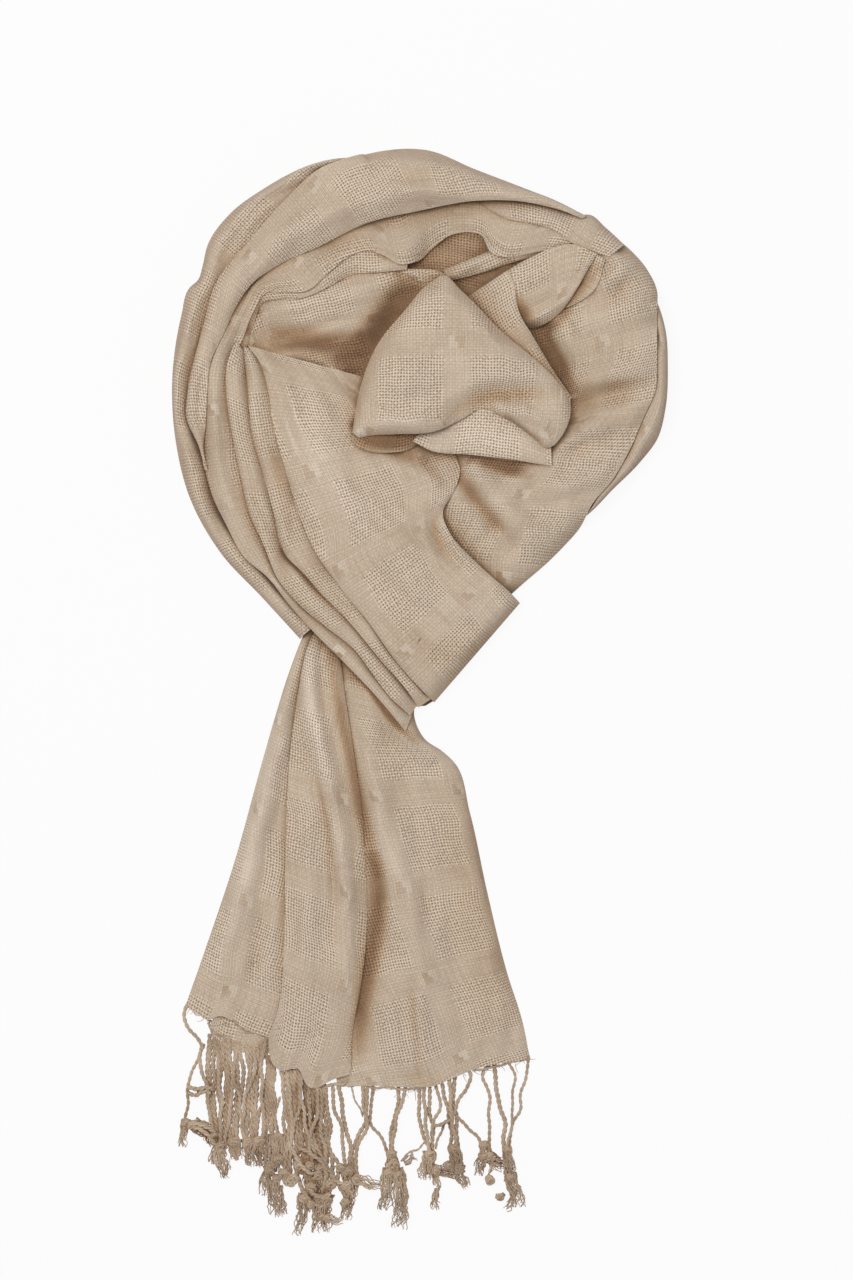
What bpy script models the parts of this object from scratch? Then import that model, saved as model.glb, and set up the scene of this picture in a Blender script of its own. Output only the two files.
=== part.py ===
"""A stole of open-weave cloth, laid down flat in one loose ring with its two ends in the middle and below.

The long cloth runs round the ring as a bundle of soft folds. One end is heaped in the middle, and the other lies
straight below, pleated, under the stretch that is wrapped over it, and ends in a twisted fringe. The cloth is built
stretch by stretch, from the lowest up. A stretch is a wall between two lines, the creases or edges where it meets
its neighbours, which are given below by hand. Its section rises from the foot at one line over a rounded shoulder
to the shoulder and foot at the other. Each stretch is lifted clear of what it lies on, and one rounded solid with a
flat underside takes up the layers that never show.

Frame: +X to the right, +Y to the top of the ring, +Z up, origin under the middle of the whole.
Lengths are in millimetres in the tables and in metres in the meshes.
"""
import math

import bmesh
import bpy
import numpy as np

MM = 0.001
WALL = 2.0            # thickness of the cloth's walls: two or three layers of thin cloth
SEAM = 0.35           # each stretch stops this far short of a line that it shares
SEAM_MOST = 0.2       # but never by more than this share of its width
LAYER_GAP = 0.45      # clear height between a stretch and what it lies on
FACET = 17.0          # size of the facets along a stretch
FACET_ACROSS = 16.0   # and across it
ROLL_ROWS = 2         # facets round a rolled edge
ROLLS_MOST = 0.9      # the share of a narrow row that its two rolls take up at most
ROUGH = 40            # points along a line that its stretch's length is measured on
USUAL = 80            # the usual width of a stretch is wider than this percentage of its rows
FRINGE_WALL = 3.6     # thickness of the fringe's plain solids
FOOT_LEAST = 0.4      # the lowest point of a stretch's upper side
LEVEL_LEAST = 0.45    # the steepest slope, as a cosine, at which a wall keeps its whole thickness
FINE = 24             # test points along each side of a facet
TRIES = 40            # the most rounds of lifting a stretch clear of what it lies on
NEAR_ENOUGH = 0.02    # and the height at which it counts as clear

# ---------------------------------------------------------------- lines
# Each row is a point of the line: x, y, foot (height of the edge itself) and crest (height of the shoulder by it).

CREASE_LEFT = [
    (-68, 364, 17, 26), (-92, 343, 19, 28), (-120, 311, 19, 29), (-140, 286, 18, 29), (-151, 250, 18, 28),
    (-161, 206, 17, 27), (-162, 193, 16, 26), (-152, 168, 14, 24), (-144, 137, 10, 23), (-135, 118, 9, 22),
]
CREASE_SWAG = [
    (-136, 247, 18, 28), (-144, 230, 18, 28), (-147, 203, 16, 27), (-148, 185, 15, 26),
]
CREASE_THIRD = [
    (-133, 229, 14, 26), (-134, 210, 14, 27), (-130, 180, 13, 27), (-124, 150, 12, 26), (-118, 125, 11, 25),
    (-107, 100, 11, 24), (-98, 78, 11, 23), (-83, 60, 11, 22), (-65, 45, 11, 21), (-45, 29, 11, 20),
    (-30, 9, 11, 19), (-18, -6, 10, 18),
]
CREASE_FOURTH = [
    (-119, 212, 14, 26), (-116, 180, 14, 27), (-108, 150, 13, 27), (-100, 120, 12, 26), (-97, 105, 9, 24),
    (-92, 94, 8, 23), (-82, 84, 10, 23), (-68, 68, 11, 22), (-50, 50, 12, 22), (-25, 20, 11, 20), (-10, 3, 10, 18),
]
CREASE_FIFTH = [
    (-110, 228, 14, 22), (-105, 210, 14, 25), (-101, 185, 14, 27), (-93, 155, 14, 27), (-83, 122, 13, 26),
    (-72, 97, 12, 25), (-55, 73, 12, 24), (-35, 48, 12, 23), (-15, 20, 12, 22),
]
CREASE_RIM = [
    (166, 250, 12, 28), (166, 230, 13, 28), (165, 210, 13, 28), (156.5, 190, 12, 27), (148, 170, 12, 26),
    (135, 147, 11, 24), (121, 130, 8, 21),
]

LINES = {
    # the tail that hangs below, with its hidden upper end under the wrap
    "tail_left_side": [
        (-72, 58, 0.4, 5), (-82, 36, 0.4, 8), (-90, 15, 0.4, 9), (-101, -20, 0.4, 9), (-111, -55, 0.4, 9),
        (-129, -120, 0.4, 8), (-149, -180, 0.4, 6), (-163, -220, 0.4, 4),
    ],
    "tail_left_crease": [
        (-66, 56, 2, 4), (-78, 30, 3, 7), (-84, 0, 3, 8), (-89, -35, 3, 8), (-93, -110, 3, 7), (-94, -170, 3, 6),
        (-99, -225, 3, 5), (-105, -242, 3, 4),
    ],
    "tail_right_crease": [
        (-60, 50, 2, 5), (-58, 20, 3, 7), (-62, -30, 3, 9), (-67, -75, 4, 9), (-59, -105, 4, 9), (-55, -145, 4, 9),
        (-50, -190, 3, 8), (-47, -225, 3, 6.5), (-47, -268, 3, 4.5),
    ],
    "tail_under_left": [
        (-66, 50, 1, 4), (-70, 10, 1, 4), (-74, -60, 1, 4), (-70, -110, 1, 4), (-66, -170, 1, 4), (-57, -277, 1, 3.5),
    ],
    "tail_right_side": [
        (10, 12, 0.4, 6), (-3, -17, 0.4, 10), (3, -34, 0.4, 10), (25, -50, 0.4, 10), (36, -85, 0.4, 10),
        (48, -140, 0.4, 9), (62, -197, 0.4, 7), (73, -232, 0.4, 5), (78, -257, 0.4, 4),
    ],
    "tail_back_left": [(-118, -150, 0.2, 2.4), (-132, -200, 0.2, 2.4), (-140, -234, 0.2, 2.4)],
    "tail_back_right": [(-86, -150, 0.2, 2.4), (-96, -200, 0.2, 2.4), (-104, -254, 0.2, 2.4)],
    # the left side of the ring, from the outside in
    "left_outline": [
        (-28, 369, 1, 12), (-50, 373, 1, 20), (-78, 367, 1, 25), (-110, 351, 1, 26), (-135, 335, 1, 27),
        (-148, 313, 1, 27), (-151.5, 296, 1, 27), (-154, 288, 1, 26), (-160.5, 282, 1, 26), (-166, 263, 1, 26),
        (-172.5, 214, 1, 26), (-170, 175, 1, 26), (-160, 135, 1, 25), (-138, 96, 1, 22), (-110, 66, 1, 18),
        (-83, 36.5, 1, 13),
    ],
    "left_crease": [(-26, 362, 6, 10), (-50, 366, 11, 19)] + CREASE_LEFT + [
        (-118, 95, 9, 17), (-98, 70, 8, 13), (-72, 46, 8, 10),
    ],
    "band_outline": [
        (117, 331, 6, 12), (100, 340, 1, 21), (72, 351, 1, 25), (40, 365, 1, 27), (5, 378.7, 1, 28),
        (-25, 378, 1, 29), (-46, 372.5, 8, 29),
    ] + CREASE_LEFT[:8] + [(-149, 154, 11, 17)],
    "band_inner": [
        (114, 329, 6, 12), (95, 336, 13, 23), (75, 340, 17, 28), (40, 341, 19, 31), (0, 334, 20, 32),
        (-40, 324, 20, 32), (-70, 309, 20, 32), (-100, 295, 20, 31), (-115, 284, 20, 31), (-126, 269, 19, 30),
    ] + CREASE_SWAG + [(-149.5, 168, 13, 21), (-146.5, 154, 11, 16)],
    "swag_outer": [
        (76, 337, 10, 14), (40, 345, 11, 15), (0, 343, 11, 15), (-40, 334, 11, 15), (-80, 317, 11, 15),
        (-112, 299, 12, 16), (-128, 269, 15, 20),
    ] + CREASE_SWAG + [(-149.5, 165, 12, 25)] + CREASE_LEFT[8:] + [
        (-121, 93, 12, 22), (-105, 79, 13, 21), (-90, 60, 12, 20), (-70, 38, 12, 19), (-50, 18, 12, 19),
        (-30, -3, 12, 19), (-9, -28, 8, 14),
    ],
    "swag_inner": [
        (66, 304, 9, 13), (53, 309, 11, 19), (42, 323, 12, 21), (22, 323, 12, 21), (9, 314, 12, 23),
        (-1, 305, 12, 24), (-14, 302, 12, 24), (-26, 308, 12, 23), (-38, 311.5, 12, 23), (-53, 306, 12, 23),
        (-67, 294, 12, 24), (-80, 283, 12, 24), (-98, 281, 12, 24), (-110, 280, 13, 24), (-119, 267, 13, 25),
        (-126, 250, 13, 25),
    ] + CREASE_THIRD + [(-5, -18, 8, 13)],
    "fourth_start": [(-127, 244, 12, 20)] + CREASE_THIRD + [(-6, -17, 8, 13)],
    "fourth_inner": [(-121, 236, 12, 18)] + CREASE_FOURTH + [(-1, -10, 8, 13)],
    "fifth_outer": [(-122, 240, 12, 17)] + CREASE_FOURTH + [(0, -11.5, 8, 13)],
    "fifth_inner": [(-115, 238, 12, 16)] + CREASE_FIFTH + [(2, 1, 11, 18), (8, -6, 9, 15)],
    # the inside of the ring, upper half
    "swag_back_outer": [
        (24, 314, 7, 10), (0, 312, 7, 10), (-30, 314, 8, 11), (-60, 300, 9, 12), (-88, 289, 9, 12),
        (-113, 285, 9, 12), (-124, 262, 9, 13), (-131, 238, 9, 13),
    ],
    "swag_back_inner": [
        (22, 290, 8, 12), (0, 294, 9, 14), (-22, 292, 9, 16), (-48, 290, 10, 17), (-64, 281, 10, 18),
        (-80, 274, 10, 18), (-97, 273, 10, 18), (-108, 271, 10, 18), (-115, 256, 10, 18), (-121, 234, 10, 16),
    ],
    "back_panel_top": [
        (30, 296, 7, 10), (0, 303, 7, 10), (-30, 303, 8, 11), (-60, 294, 8, 11), (-90, 284, 8, 11),
        (-113, 276, 8, 11), (-124, 256, 8, 11), (-130, 236, 8, 11),
    ],
    "back_panel_bottom": [
        (22, 262, 5, 8), (-4, 235, 4, 7), (-20, 212, 4, 7), (-48, 205, 5, 8), (-78, 210, 6, 9), (-104, 216, 7, 10),
        (-118, 222, 8, 11), (-129, 228, 8, 11),
    ],
    "inner_wall_top": [(-26, 316, 6, 9), (10, 334, 7, 10), (52, 330, 8, 11), (78, 314, 9, 12)],
    "inner_wall_bottom": [(-12, 282, 6, 9), (16, 266, 7, 10), (44, 256, 8, 11), (66, 262, 9, 12)],
    "strip_top": [
        (17, 294, 10, 13), (38, 302, 12, 17), (52, 307.5, 13, 20), (61, 322, 13, 21), (85, 328, 13, 22),
        (113, 327, 12, 22), (130, 317, 12, 22),
    ],
    "strip_bottom": [
        (21, 287, 10, 13), (36, 291.5, 12, 18), (52, 297, 13, 20), (68, 303.5, 14, 22), (90, 309, 15, 24),
        (112, 311, 15, 24), (128, 306, 14, 22),
    ],
    "top_right_outer": [
        (40, 336, 12, 16), (60, 343, 12, 17), (80, 343, 12, 17), (100, 337, 11, 18), (112, 333, 5, 20),
        (120, 333.3, 1, 21), (131, 324, 1, 21), (139, 317, 1, 19),
    ],
    "top_right_inner": [
        (48, 330, 13, 20), (60, 328, 14, 25), (76, 326, 14, 27), (95, 321, 14, 28), (115, 322, 14, 28),
        (126, 319, 12, 25), (136, 313, 10, 18),
    ],
    # the right side of the ring
    "right_outer": [
        (110, 331, 6, 12), (123, 329, 1, 20), (136, 319, 1, 25), (150, 307, 1, 28), (160, 295, 1, 29),
        (167, 278, 1, 28), (166, 266, 9, 28),
    ] + CREASE_RIM + [(111, 115, 1, 20), (90, 90, 1, 18), (72, 74, 1, 16), (60, 63, 1, 14)],
    "right_inner": [
        (60, 326, 8, 11), (66, 306, 9, 12), (66, 285, 9, 12), (64, 262, 8, 12), (66, 240, 8, 12), (74, 215, 8, 12),
        (66, 194, 8, 13), (44, 180, 8, 14), (14, 172, 8, 14), (2, 150, 7, 12), (4, 125, 7, 11), (18, 100, 7, 11),
        (38, 80, 7, 11), (48, 66, 7, 11),
    ],
    "rim_inner": [(167.5, 274, 6, 12)] + [(x + 0.5, y - 0.4, foot - 2, crest - 7) for x, y, foot, crest in CREASE_RIM] + [
        (118, 124, 3, 9),
    ],
    "rim_outline": [
        (169.5, 271, 1, 14), (173, 254, 1, 20), (174.5, 228, 1, 21), (172.8, 197, 1, 21), (167.5, 177, 1, 20),
        (155, 160, 1, 19), (135, 139, 1, 17), (120, 123, 1, 14), (115, 116, 1, 9),
    ],
    "lobe_top": [
        (33, 275, 12, 17), (50, 284, 13, 23), (62, 291, 14, 26), (75, 300, 15, 28), (88, 307, 17, 29),
        (105, 311, 19, 30), (127, 304, 18, 29),
    ],
    "lobe_hem": [
        (42, 266, 12, 17), (54, 258, 12, 19), (66, 256, 12, 19), (76, 253, 13, 19), (90, 257, 14, 22),
        (98, 263, 14, 24), (106, 275, 15, 25),
    ],
    "lobe_lining_left": [(97, 267, 11, 15), (110, 282, 12, 20), (118, 293, 14, 24), (125, 302, 15, 26)],
    "lobe_lining_right": [(104, 268, 11, 15), (113, 271.5, 12, 19), (121.5, 278, 13, 23), (129, 300, 14, 25)],
    "flank_inner": [
        (33, 273, 16, 24), (42, 264, 18, 28), (60, 245, 20, 31), (80, 228, 20, 30), (94, 214, 20, 28),
        (103, 202, 18, 25),
    ],
    "flank_outer": [
        (50, 284, 15, 26), (65, 282, 15, 28), (68, 269, 15, 29), (78, 250, 15, 29), (92, 226, 15, 28),
        (107, 204, 15, 26),
    ],
    # the wrap over the tail
    "front_right": [
        (-38, 219, 10, 13), (-28, 200, 12, 14), (-6, 184, 14, 16), (22, 170, 16, 17), (25, 152, 16, 17.5),
        (20, 137, 13, 22),
        (17, 124, 13, 24), (22, 110, 13, 25), (36, 94, 13, 25), (52, 79, 12, 24), (66, 68, 10, 22),
    ],
    "front_left": [(-119, 241, 11, 14)] + CREASE_FIFTH + [(3, 0, 11, 20), (11, -8, 9, 18)],
    # the heaped end in the middle
    "peak_top": [
        (-45, 178, 22, 31), (-42, 205, 22, 33), (-28, 242, 22, 35), (-10, 264, 22, 37), (8, 284, 22, 38),
        (17, 289, 24, 40), (30, 278, 27, 41), (60, 248, 28, 42), (80, 231, 27, 41), (95, 217, 26, 39),
        (109, 200, 24, 34),
    ],
    "peak_bottom": [
        (-44, 175, 24, 31), (-15, 178.5, 26, 36), (12, 180.5, 26, 37), (30, 189, 26, 37), (45, 196.5, 26, 36),
        (60, 190, 26, 36), (78, 177, 24, 34), (91, 165.5, 22, 32),
    ],
    "curl_top": [(-43, 178, 22, 25), (-22, 182, 22, 25), (4, 184, 22, 25)],
    "curl_bottom": [(-45.5, 172.5, 14, 18), (-38, 168.5, 14, 19), (-20, 167, 14, 20), (-5, 169, 16, 22), (2, 175, 18, 23)],
    "flap_top": [(-1, 178, 21, 25), (30, 191, 22, 27), (47, 199, 23, 28), (65, 192, 23, 28), (92, 173, 20, 26)],
    "flap_hem": [(-4, 174, 18, 26), (8, 167.5, 18, 28), (35, 164.5, 18, 28), (65, 161, 18, 28), (93, 156.5, 16, 26)],
    # the fringe, between its knotted top and its ends
    "fringe_left_top": [(-162.5, -220.6, 0.3, 4), (-142, -234.2, 0.3, 4), (-107, -254, 0.3, 4)],
    "fringe_left_ends": [(-168, -318, 0.3, 4), (-137, -338, 0.3, 4), (-108, -336, 0.3, 4)],
    "fringe_middle_top": [
        (-105, -258.5, 0.3, 4), (-96, -266, 0.3, 4), (-81, -269, 0.3, 4), (-75, -278.4, 0.3, 4),
        (-68, -278.9, 0.3, 4), (-48, -278.5, 0.3, 4),
    ],
    "fringe_middle_ends": [(-105, -366, 0.3, 4), (-84, -380, 0.3, 4), (-47.7, -372, 0.3, 4)],
    "fringe_right_top": [
        (-47, -278.5, 0.3, 4), (-25, -278, 0.3, 4), (-8, -278.8, 0.3, 4), (7, -278.4, 0.3, 4), (22, -273.2, 0.3, 4),
        (38, -267, 0.3, 4), (53, -262.8, 0.3, 4), (78.2, -258.4, 0.3, 4),
    ],
    "fringe_right_ends": [(-47, -370, 0.3, 4), (-8, -374, 0.3, 4), (38, -350, 0.3, 4), (74, -358, 0.3, 4)],
}

# ---------------------------------------------------------------- folds
# Each row is a fold that runs inside a stretch: height (negative for a trough), width to its left and to its right
# as it runs, then the points that it runs through.
FOLDS = {
    "right_band": [
        (5, 14, 16, (26, 164), (45, 142), (66, 119), (90, 98)),
        (-4, 9, 12, (24, 148), (40, 128), (60, 108), (80, 92)),
        (5, 16, 22, (158, 214), (130, 210), (100, 214)),
        (-4, 14, 12, (160, 196), (128, 190), (104, 188)),
        (4, 14, 12, (160, 262), (130, 262), (108, 257)),
    ],
    "tail_right_panel": [
        (4, 12, 26, (-48, 8), (-50, -45), (-38, -88), (-26, -135), (-14, -180), (-8, -235)),
        (-2.5, 12, 14, (12, -60), (22, -120), (28, -190), (34, -250)),
    ],
    "tail_middle_panel": [(2.5, 9, 9, (-72, 10), (-77, -60), (-78, -150), (-76, -255))],
    "tail_left_panel": [(2, 10, 10, (-92, -30), (-110, -110), (-128, -190))],
    "back_panel": [(4, 20, 34, (-112, 236), (-70, 256), (-30, 276), (4, 292))],
    "front_panel": [
        (3, 26, 26, (-70, 200), (-50, 140), (-10, 90), (30, 40)),
        (-3, 16, 16, (-46, 168), (-20, 150), (16, 140)),
    ],
    "peak": [
        (4, 22, 26, (-20, 200), (6, 235), (14, 280)),
        (-4, 18, 18, (22, 186), (50, 208), (92, 204)),
    ],
    "top_band": [
        (-2.5, 10, 10, (-60, 352), (-20, 358), (30, 352)),
        (2.5, 10, 12, (-100, 318), (-50, 338), (10, 350)),
    ],
}

# A cut hem that isn't straight: rows of share across the stretch, and how far the hem lies beyond its straight line.
HEMS = {
    "tail_middle_panel": [(0, 0), (0.05, 11), (0.17, 18), (0.43, 13), (0.52, 20), (0.62, 20), (0.8, 9), (1, 0)],
    "tail_right_panel": [(0, 0), (0.2, 3), (0.42, 8.5), (0.5, 9), (0.57, 6.5), (0.7, 2), (1, 0)],
}
HEM_REACH = 40        # the length over which a stretch stretches to its hem

# ---------------------------------------------------------------- stretches
# In the order in which they lie: name, its two lines, crown (height of the middle over the shoulders), the radii of
# the rolls at the first line, second line, start and end (0 for a plain edge), and the height of a rolled end's foot.
COLUMNS = ("name", "first", "second", "crown", "roll_first", "roll_second", "roll_start", "roll_end", "end_foot")
STRETCHES = [dict(zip(COLUMNS, row)) for row in (
    ("tail_back_layer", "tail_back_left", "tail_back_right", 0, 0, 0, 0, 0, 0),
    ("tail_left_panel", "tail_left_side", "tail_left_crease", 1, 5, 3, 0, 0, 0),
    ("tail_right_panel", "tail_under_left", "tail_right_side", 2, 0, 9, 0, 0, 0),
    ("tail_middle_panel", "tail_left_crease", "tail_right_crease", 2, 5, 5, 0, 0, 0),
    ("fringe_left", "fringe_left_top", "fringe_left_ends", 0, 0, 0, 0, 0, 0),
    ("fringe_middle", "fringe_middle_top", "fringe_middle_ends", 0, 0, 0, 0, 0, 0),
    ("fringe_right", "fringe_right_top", "fringe_right_ends", 0, 0, 0, 0, 0, 0),
    ("outer_fold", "left_outline", "left_crease", 3, 13, 7, 0, 0, 0),
    ("right_rim", "rim_inner", "rim_outline", 2, 4, 8, 0, 0, 0),
    ("right_band", "right_outer", "right_inner", 4, 13, 0, 0, 0, 0),
    ("back_panel", "back_panel_top", "back_panel_bottom", 3, 0, 0, 0, 0, 0),
    ("inner_wall", "inner_wall_top", "inner_wall_bottom", 1, 0, 0, 0, 0, 0),
    ("swag_back", "swag_back_outer", "swag_back_inner", 2, 0, 6, 0, 0, 0),
    ("inner_strip", "strip_top", "strip_bottom", 1, 5, 4, 0, 0, 0),
    ("swag", "swag_outer", "swag_inner", 3, 6, 7, 0, 10, 8),
    ("top_right_fold", "top_right_outer", "top_right_inner", 2, 6, 6, 0, 0, 0),
    ("top_band", "band_outline", "band_inner", 5, 14, 8, 0, 0, 0),
    ("lobe_lining", "lobe_lining_left", "lobe_lining_right", 1, 0, 3, 0, 0, 0),
    ("lobe", "lobe_top", "lobe_hem", 3, 6, 5, 0, 4, 14),
    ("fourth_fold", "fourth_start", "fourth_inner", 2, 6, 6, 0, 10, 8),
    ("fifth_fold", "fifth_outer", "fifth_inner", 2, 6, 5, 0, 10, 8),
    ("front_panel", "front_left", "front_right", 4, 6, 6, 0, 14, 1),
    ("flank", "flank_inner", "flank_outer", 1, 0, 5, 0, 0, 0),
    ("peak_curl", "curl_top", "curl_bottom", 0, 0, 3, 0, 0, 0),
    ("hem_flap", "flap_top", "flap_hem", 1, 0, 3, 0, 0, 0),
    ("peak", "peak_top", "peak_bottom", 6, 5, 5, 0, 5, 24),
)]


# ---------------------------------------------------------------- geometry
def smooth(knots, rows, at):
    """Values of a smooth curve through the rows at the knots: cubic pieces whose slopes are the mean of their sides'."""
    rows = np.asarray(rows, float)
    gap = np.diff(knots)[:, None]
    slope = np.diff(rows, axis=0) / gap
    lean = np.empty_like(rows)
    lean[0], lean[-1] = slope[0], slope[-1]
    lean[1:-1] = (gap[1:] * slope[:-1] + gap[:-1] * slope[1:]) / (gap[1:] + gap[:-1])
    i = np.clip(np.searchsorted(knots, at, side="right") - 1, 0, len(knots) - 2)
    h = gap[i]
    t = (at - knots[i])[:, None] / h
    return (
        (2 * t**3 - 3 * t**2 + 1) * rows[i]
        + (t**3 - 2 * t**2 + t) * h * lean[i]
        + (3 * t**2 - 2 * t**3) * rows[i + 1]
        + (t**3 - t**2) * h * lean[i + 1]
    )


def lengths(points):
    """Distance along the points from the first to each, seen from above."""
    return np.concatenate([[0], np.cumsum(np.linalg.norm(np.diff(points[:, :2], axis=0), axis=1))])


def line_points(name, shares):
    """The line's rows at shares of its length, from 0 to 1."""
    rows = np.array(LINES[name], float)
    knots = lengths(rows)
    return smooth(knots, rows, shares * knots[-1])


def roll(distance, radius):
    """1 on the shoulder and 0 at the edge: a quarter of a circle over the radius."""
    near = np.clip(1 - distance / np.maximum(radius, 1e-6), 0, 1)
    return np.where(radius > 0, np.sqrt(1 - near**2), 1.0)


def spread(length, roll_start, roll_end, facet, rows_round):
    """Distances along a side: close together round its rolls, and even in between."""
    turn = np.linspace(0, math.pi / 2, rows_round, endpoint=False)
    head = roll_start * (1 - np.cos(turn)) if roll_start else np.array([])
    tail = length - roll_end * (1 - np.cos(turn))[::-1] if roll_end else np.array([])
    middle = np.linspace(roll_start, length - roll_end, max(2, round((length - roll_start - roll_end) / facet) + 1))
    return np.concatenate([head, middle, tail])


def fold_rise(x, y, high, left, right, path):
    """Height of one fold at the points: a soft bell across its run, which fades at both ends."""
    path = np.array(path, float)
    knots = lengths(path)
    run = np.linspace(0, knots[-1], max(8, int(knots[-1] / 3)))
    line = smooth(knots, path, run)
    along = np.gradient(line, axis=0)
    along /= np.linalg.norm(along, axis=1)[:, None]
    points = np.stack([x.ravel(), y.ravel()], 1)
    squares = ((points[:, None, :] - line[None]) ** 2).sum(2)
    near = squares.argmin(1)
    off = points - line[near]
    side = along[near, 0] * off[:, 1] - along[near, 1] * off[:, 0]
    share = np.sqrt(squares.min(1)) / np.where(side > 0, left, right)
    bell = (1 - np.minimum(share, 1) ** 2) ** 2
    fade = np.sin(math.pi * np.clip(run[near] / knots[-1], 0, 1)) ** 0.5
    return (high * bell * fade).reshape(x.shape)


class Heap:
    """The height of what already lies there, on small squares."""

    LEFT, BOTTOM, SQUARE, WIDE, HIGH = -190, -395, 0.5, 761, 1571

    def __init__(self):
        self.top = np.zeros((self.HIGH, self.WIDE))

    def cell(self, points):
        """The row and the column of the square that each point is over."""
        column = np.clip(np.rint((points[..., 0] - self.LEFT) / self.SQUARE).astype(int), 0, self.WIDE - 1)
        row = np.clip(np.rint((points[..., 1] - self.BOTTOM) / self.SQUARE).astype(int), 0, self.HIGH - 1)
        return row, column

    def add(self, points):
        """Raises the squares under the points to their height."""
        np.maximum.at(self.top, self.cell(points), points[..., 2])


def highest_near(field, reach):
    """The highest of the squares within reach of each, along and across."""
    for axis in (0, 1):
        shifts = [np.roll(field, shift, axis) for shift in range(-reach, reach + 1)]
        field = np.maximum.reduce(shifts)
    return field


def facet_weights(fine):
    """Weights of a facet's four corners at points spread over both of its triangles, a row for each point."""
    rows = []
    for i in range(fine + 1):
        for j in range(fine + 1):
            s, t = i / fine, j / fine
            if s >= t:
                rows.append((1 - s, 0, t, s - t))
            if t >= s:
                rows.append((1 - t, t - s, s, 0))
    return np.array(rows)


def corners(grid):
    """The four corners of each facet, in order round it."""
    return np.stack([grid[:-1, :-1], grid[:-1, 1:], grid[1:, 1:], grid[1:, :-1]], 2)


def facet_points(grid, fine):
    """Points spread over every facet, as (rows, columns, points, xyz)."""
    return np.einsum("pk,rckx->rcpx", facet_weights(fine), corners(grid))


def corner_moves(short, fine):
    """How far each corner has to move so that the worst point of each facet, short by this much, is put right."""
    weights = facet_weights(fine)[short.argmax(2)]
    moves = np.maximum(short.max(2), 0)[..., None] * weights / (weights**2).sum(2)[..., None]
    move = np.zeros((short.shape[0] + 1, short.shape[1] + 1))
    spots = ((slice(0, -1), slice(0, -1)), (slice(0, -1), slice(1, None)),
             (slice(1, None), slice(1, None)), (slice(1, None), slice(0, -1)))
    for k, spot in enumerate(spots):
        move[spot] = np.maximum(move[spot], moves[..., k])
    return move


def underside(grid, wall):
    """The grid lowered by the wall's thickness, measured square to the slope, down to the surface it lies on."""
    along, across = np.gradient(grid, axis=0), np.gradient(grid, axis=1)
    normal = np.cross(along, across)
    level = np.abs(normal[..., 2]) / (np.linalg.norm(normal, axis=2) + 1e-12)
    under = grid.copy()
    under[..., 2] = np.maximum(grid[..., 2] - wall / np.maximum(level, LEVEL_LEAST), 0)
    return under


def side_rows(row, facet, rows_round):
    """Distance along the stretch of each of its rows, and the rows' two ends, short of the lines by the seam."""
    sides = row["first"], row["second"]
    rough = sum(line_points(side, np.linspace(0, 1, ROUGH)) for side in sides) / 2
    length = lengths(rough)[-1]
    along = spread(length, row["roll_start"], row["roll_end"], facet, rows_round)
    first, second = (line_points(side, along / length) for side in sides)
    width = np.linalg.norm((second - first)[:, :2], axis=1)
    inset = np.minimum(SEAM / width, SEAM_MOST)[:, None]
    return along, first + (second - first) * inset, second + (first - second) * inset


def columns_across(row, width, usual, facet, rows_round):
    """Distance of each column from the first line, for every row, and the two rolls, drawn in where a row is narrow."""
    rolls = np.array([row["roll_first"], row["roll_second"]], float)
    drawn = rolls * np.minimum(1, ROLLS_MOST * width / max(rolls.sum(), 1e-6))[:, None]
    usual_rolls = np.minimum(rolls, ROLLS_MOST / 2 * usual)
    flat = max(2, round((usual - usual_rolls.sum()) / facet) + 1)
    turn = 1 - np.cos(np.linspace(0, math.pi / 2, rows_round, endpoint=False))
    parts = [drawn[:, :1] + np.linspace(0, 1, flat) * (width - drawn.sum(1))[:, None]]
    if rolls[0]:
        parts.insert(0, drawn[:, :1] * turn)
    if rolls[1]:
        parts.append(width[:, None] - drawn[:, 1:] * turn[::-1])
    return np.concatenate(parts, 1), drawn


def hem_pull(row, along, across, ahead):
    """How far each point moves along the stretch to bring its end to the cut hem."""
    hem = np.array(HEMS[row["name"]], float)
    beyond = smooth(hem[:, 0], hem[:, 1:], across[-1])[:, 0]
    near = np.clip(1 - (along[-1] - along) / HEM_REACH, 0, 1)
    return near[:, None, None] * beyond[None, :, None] * ahead / np.linalg.norm(ahead)


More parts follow.
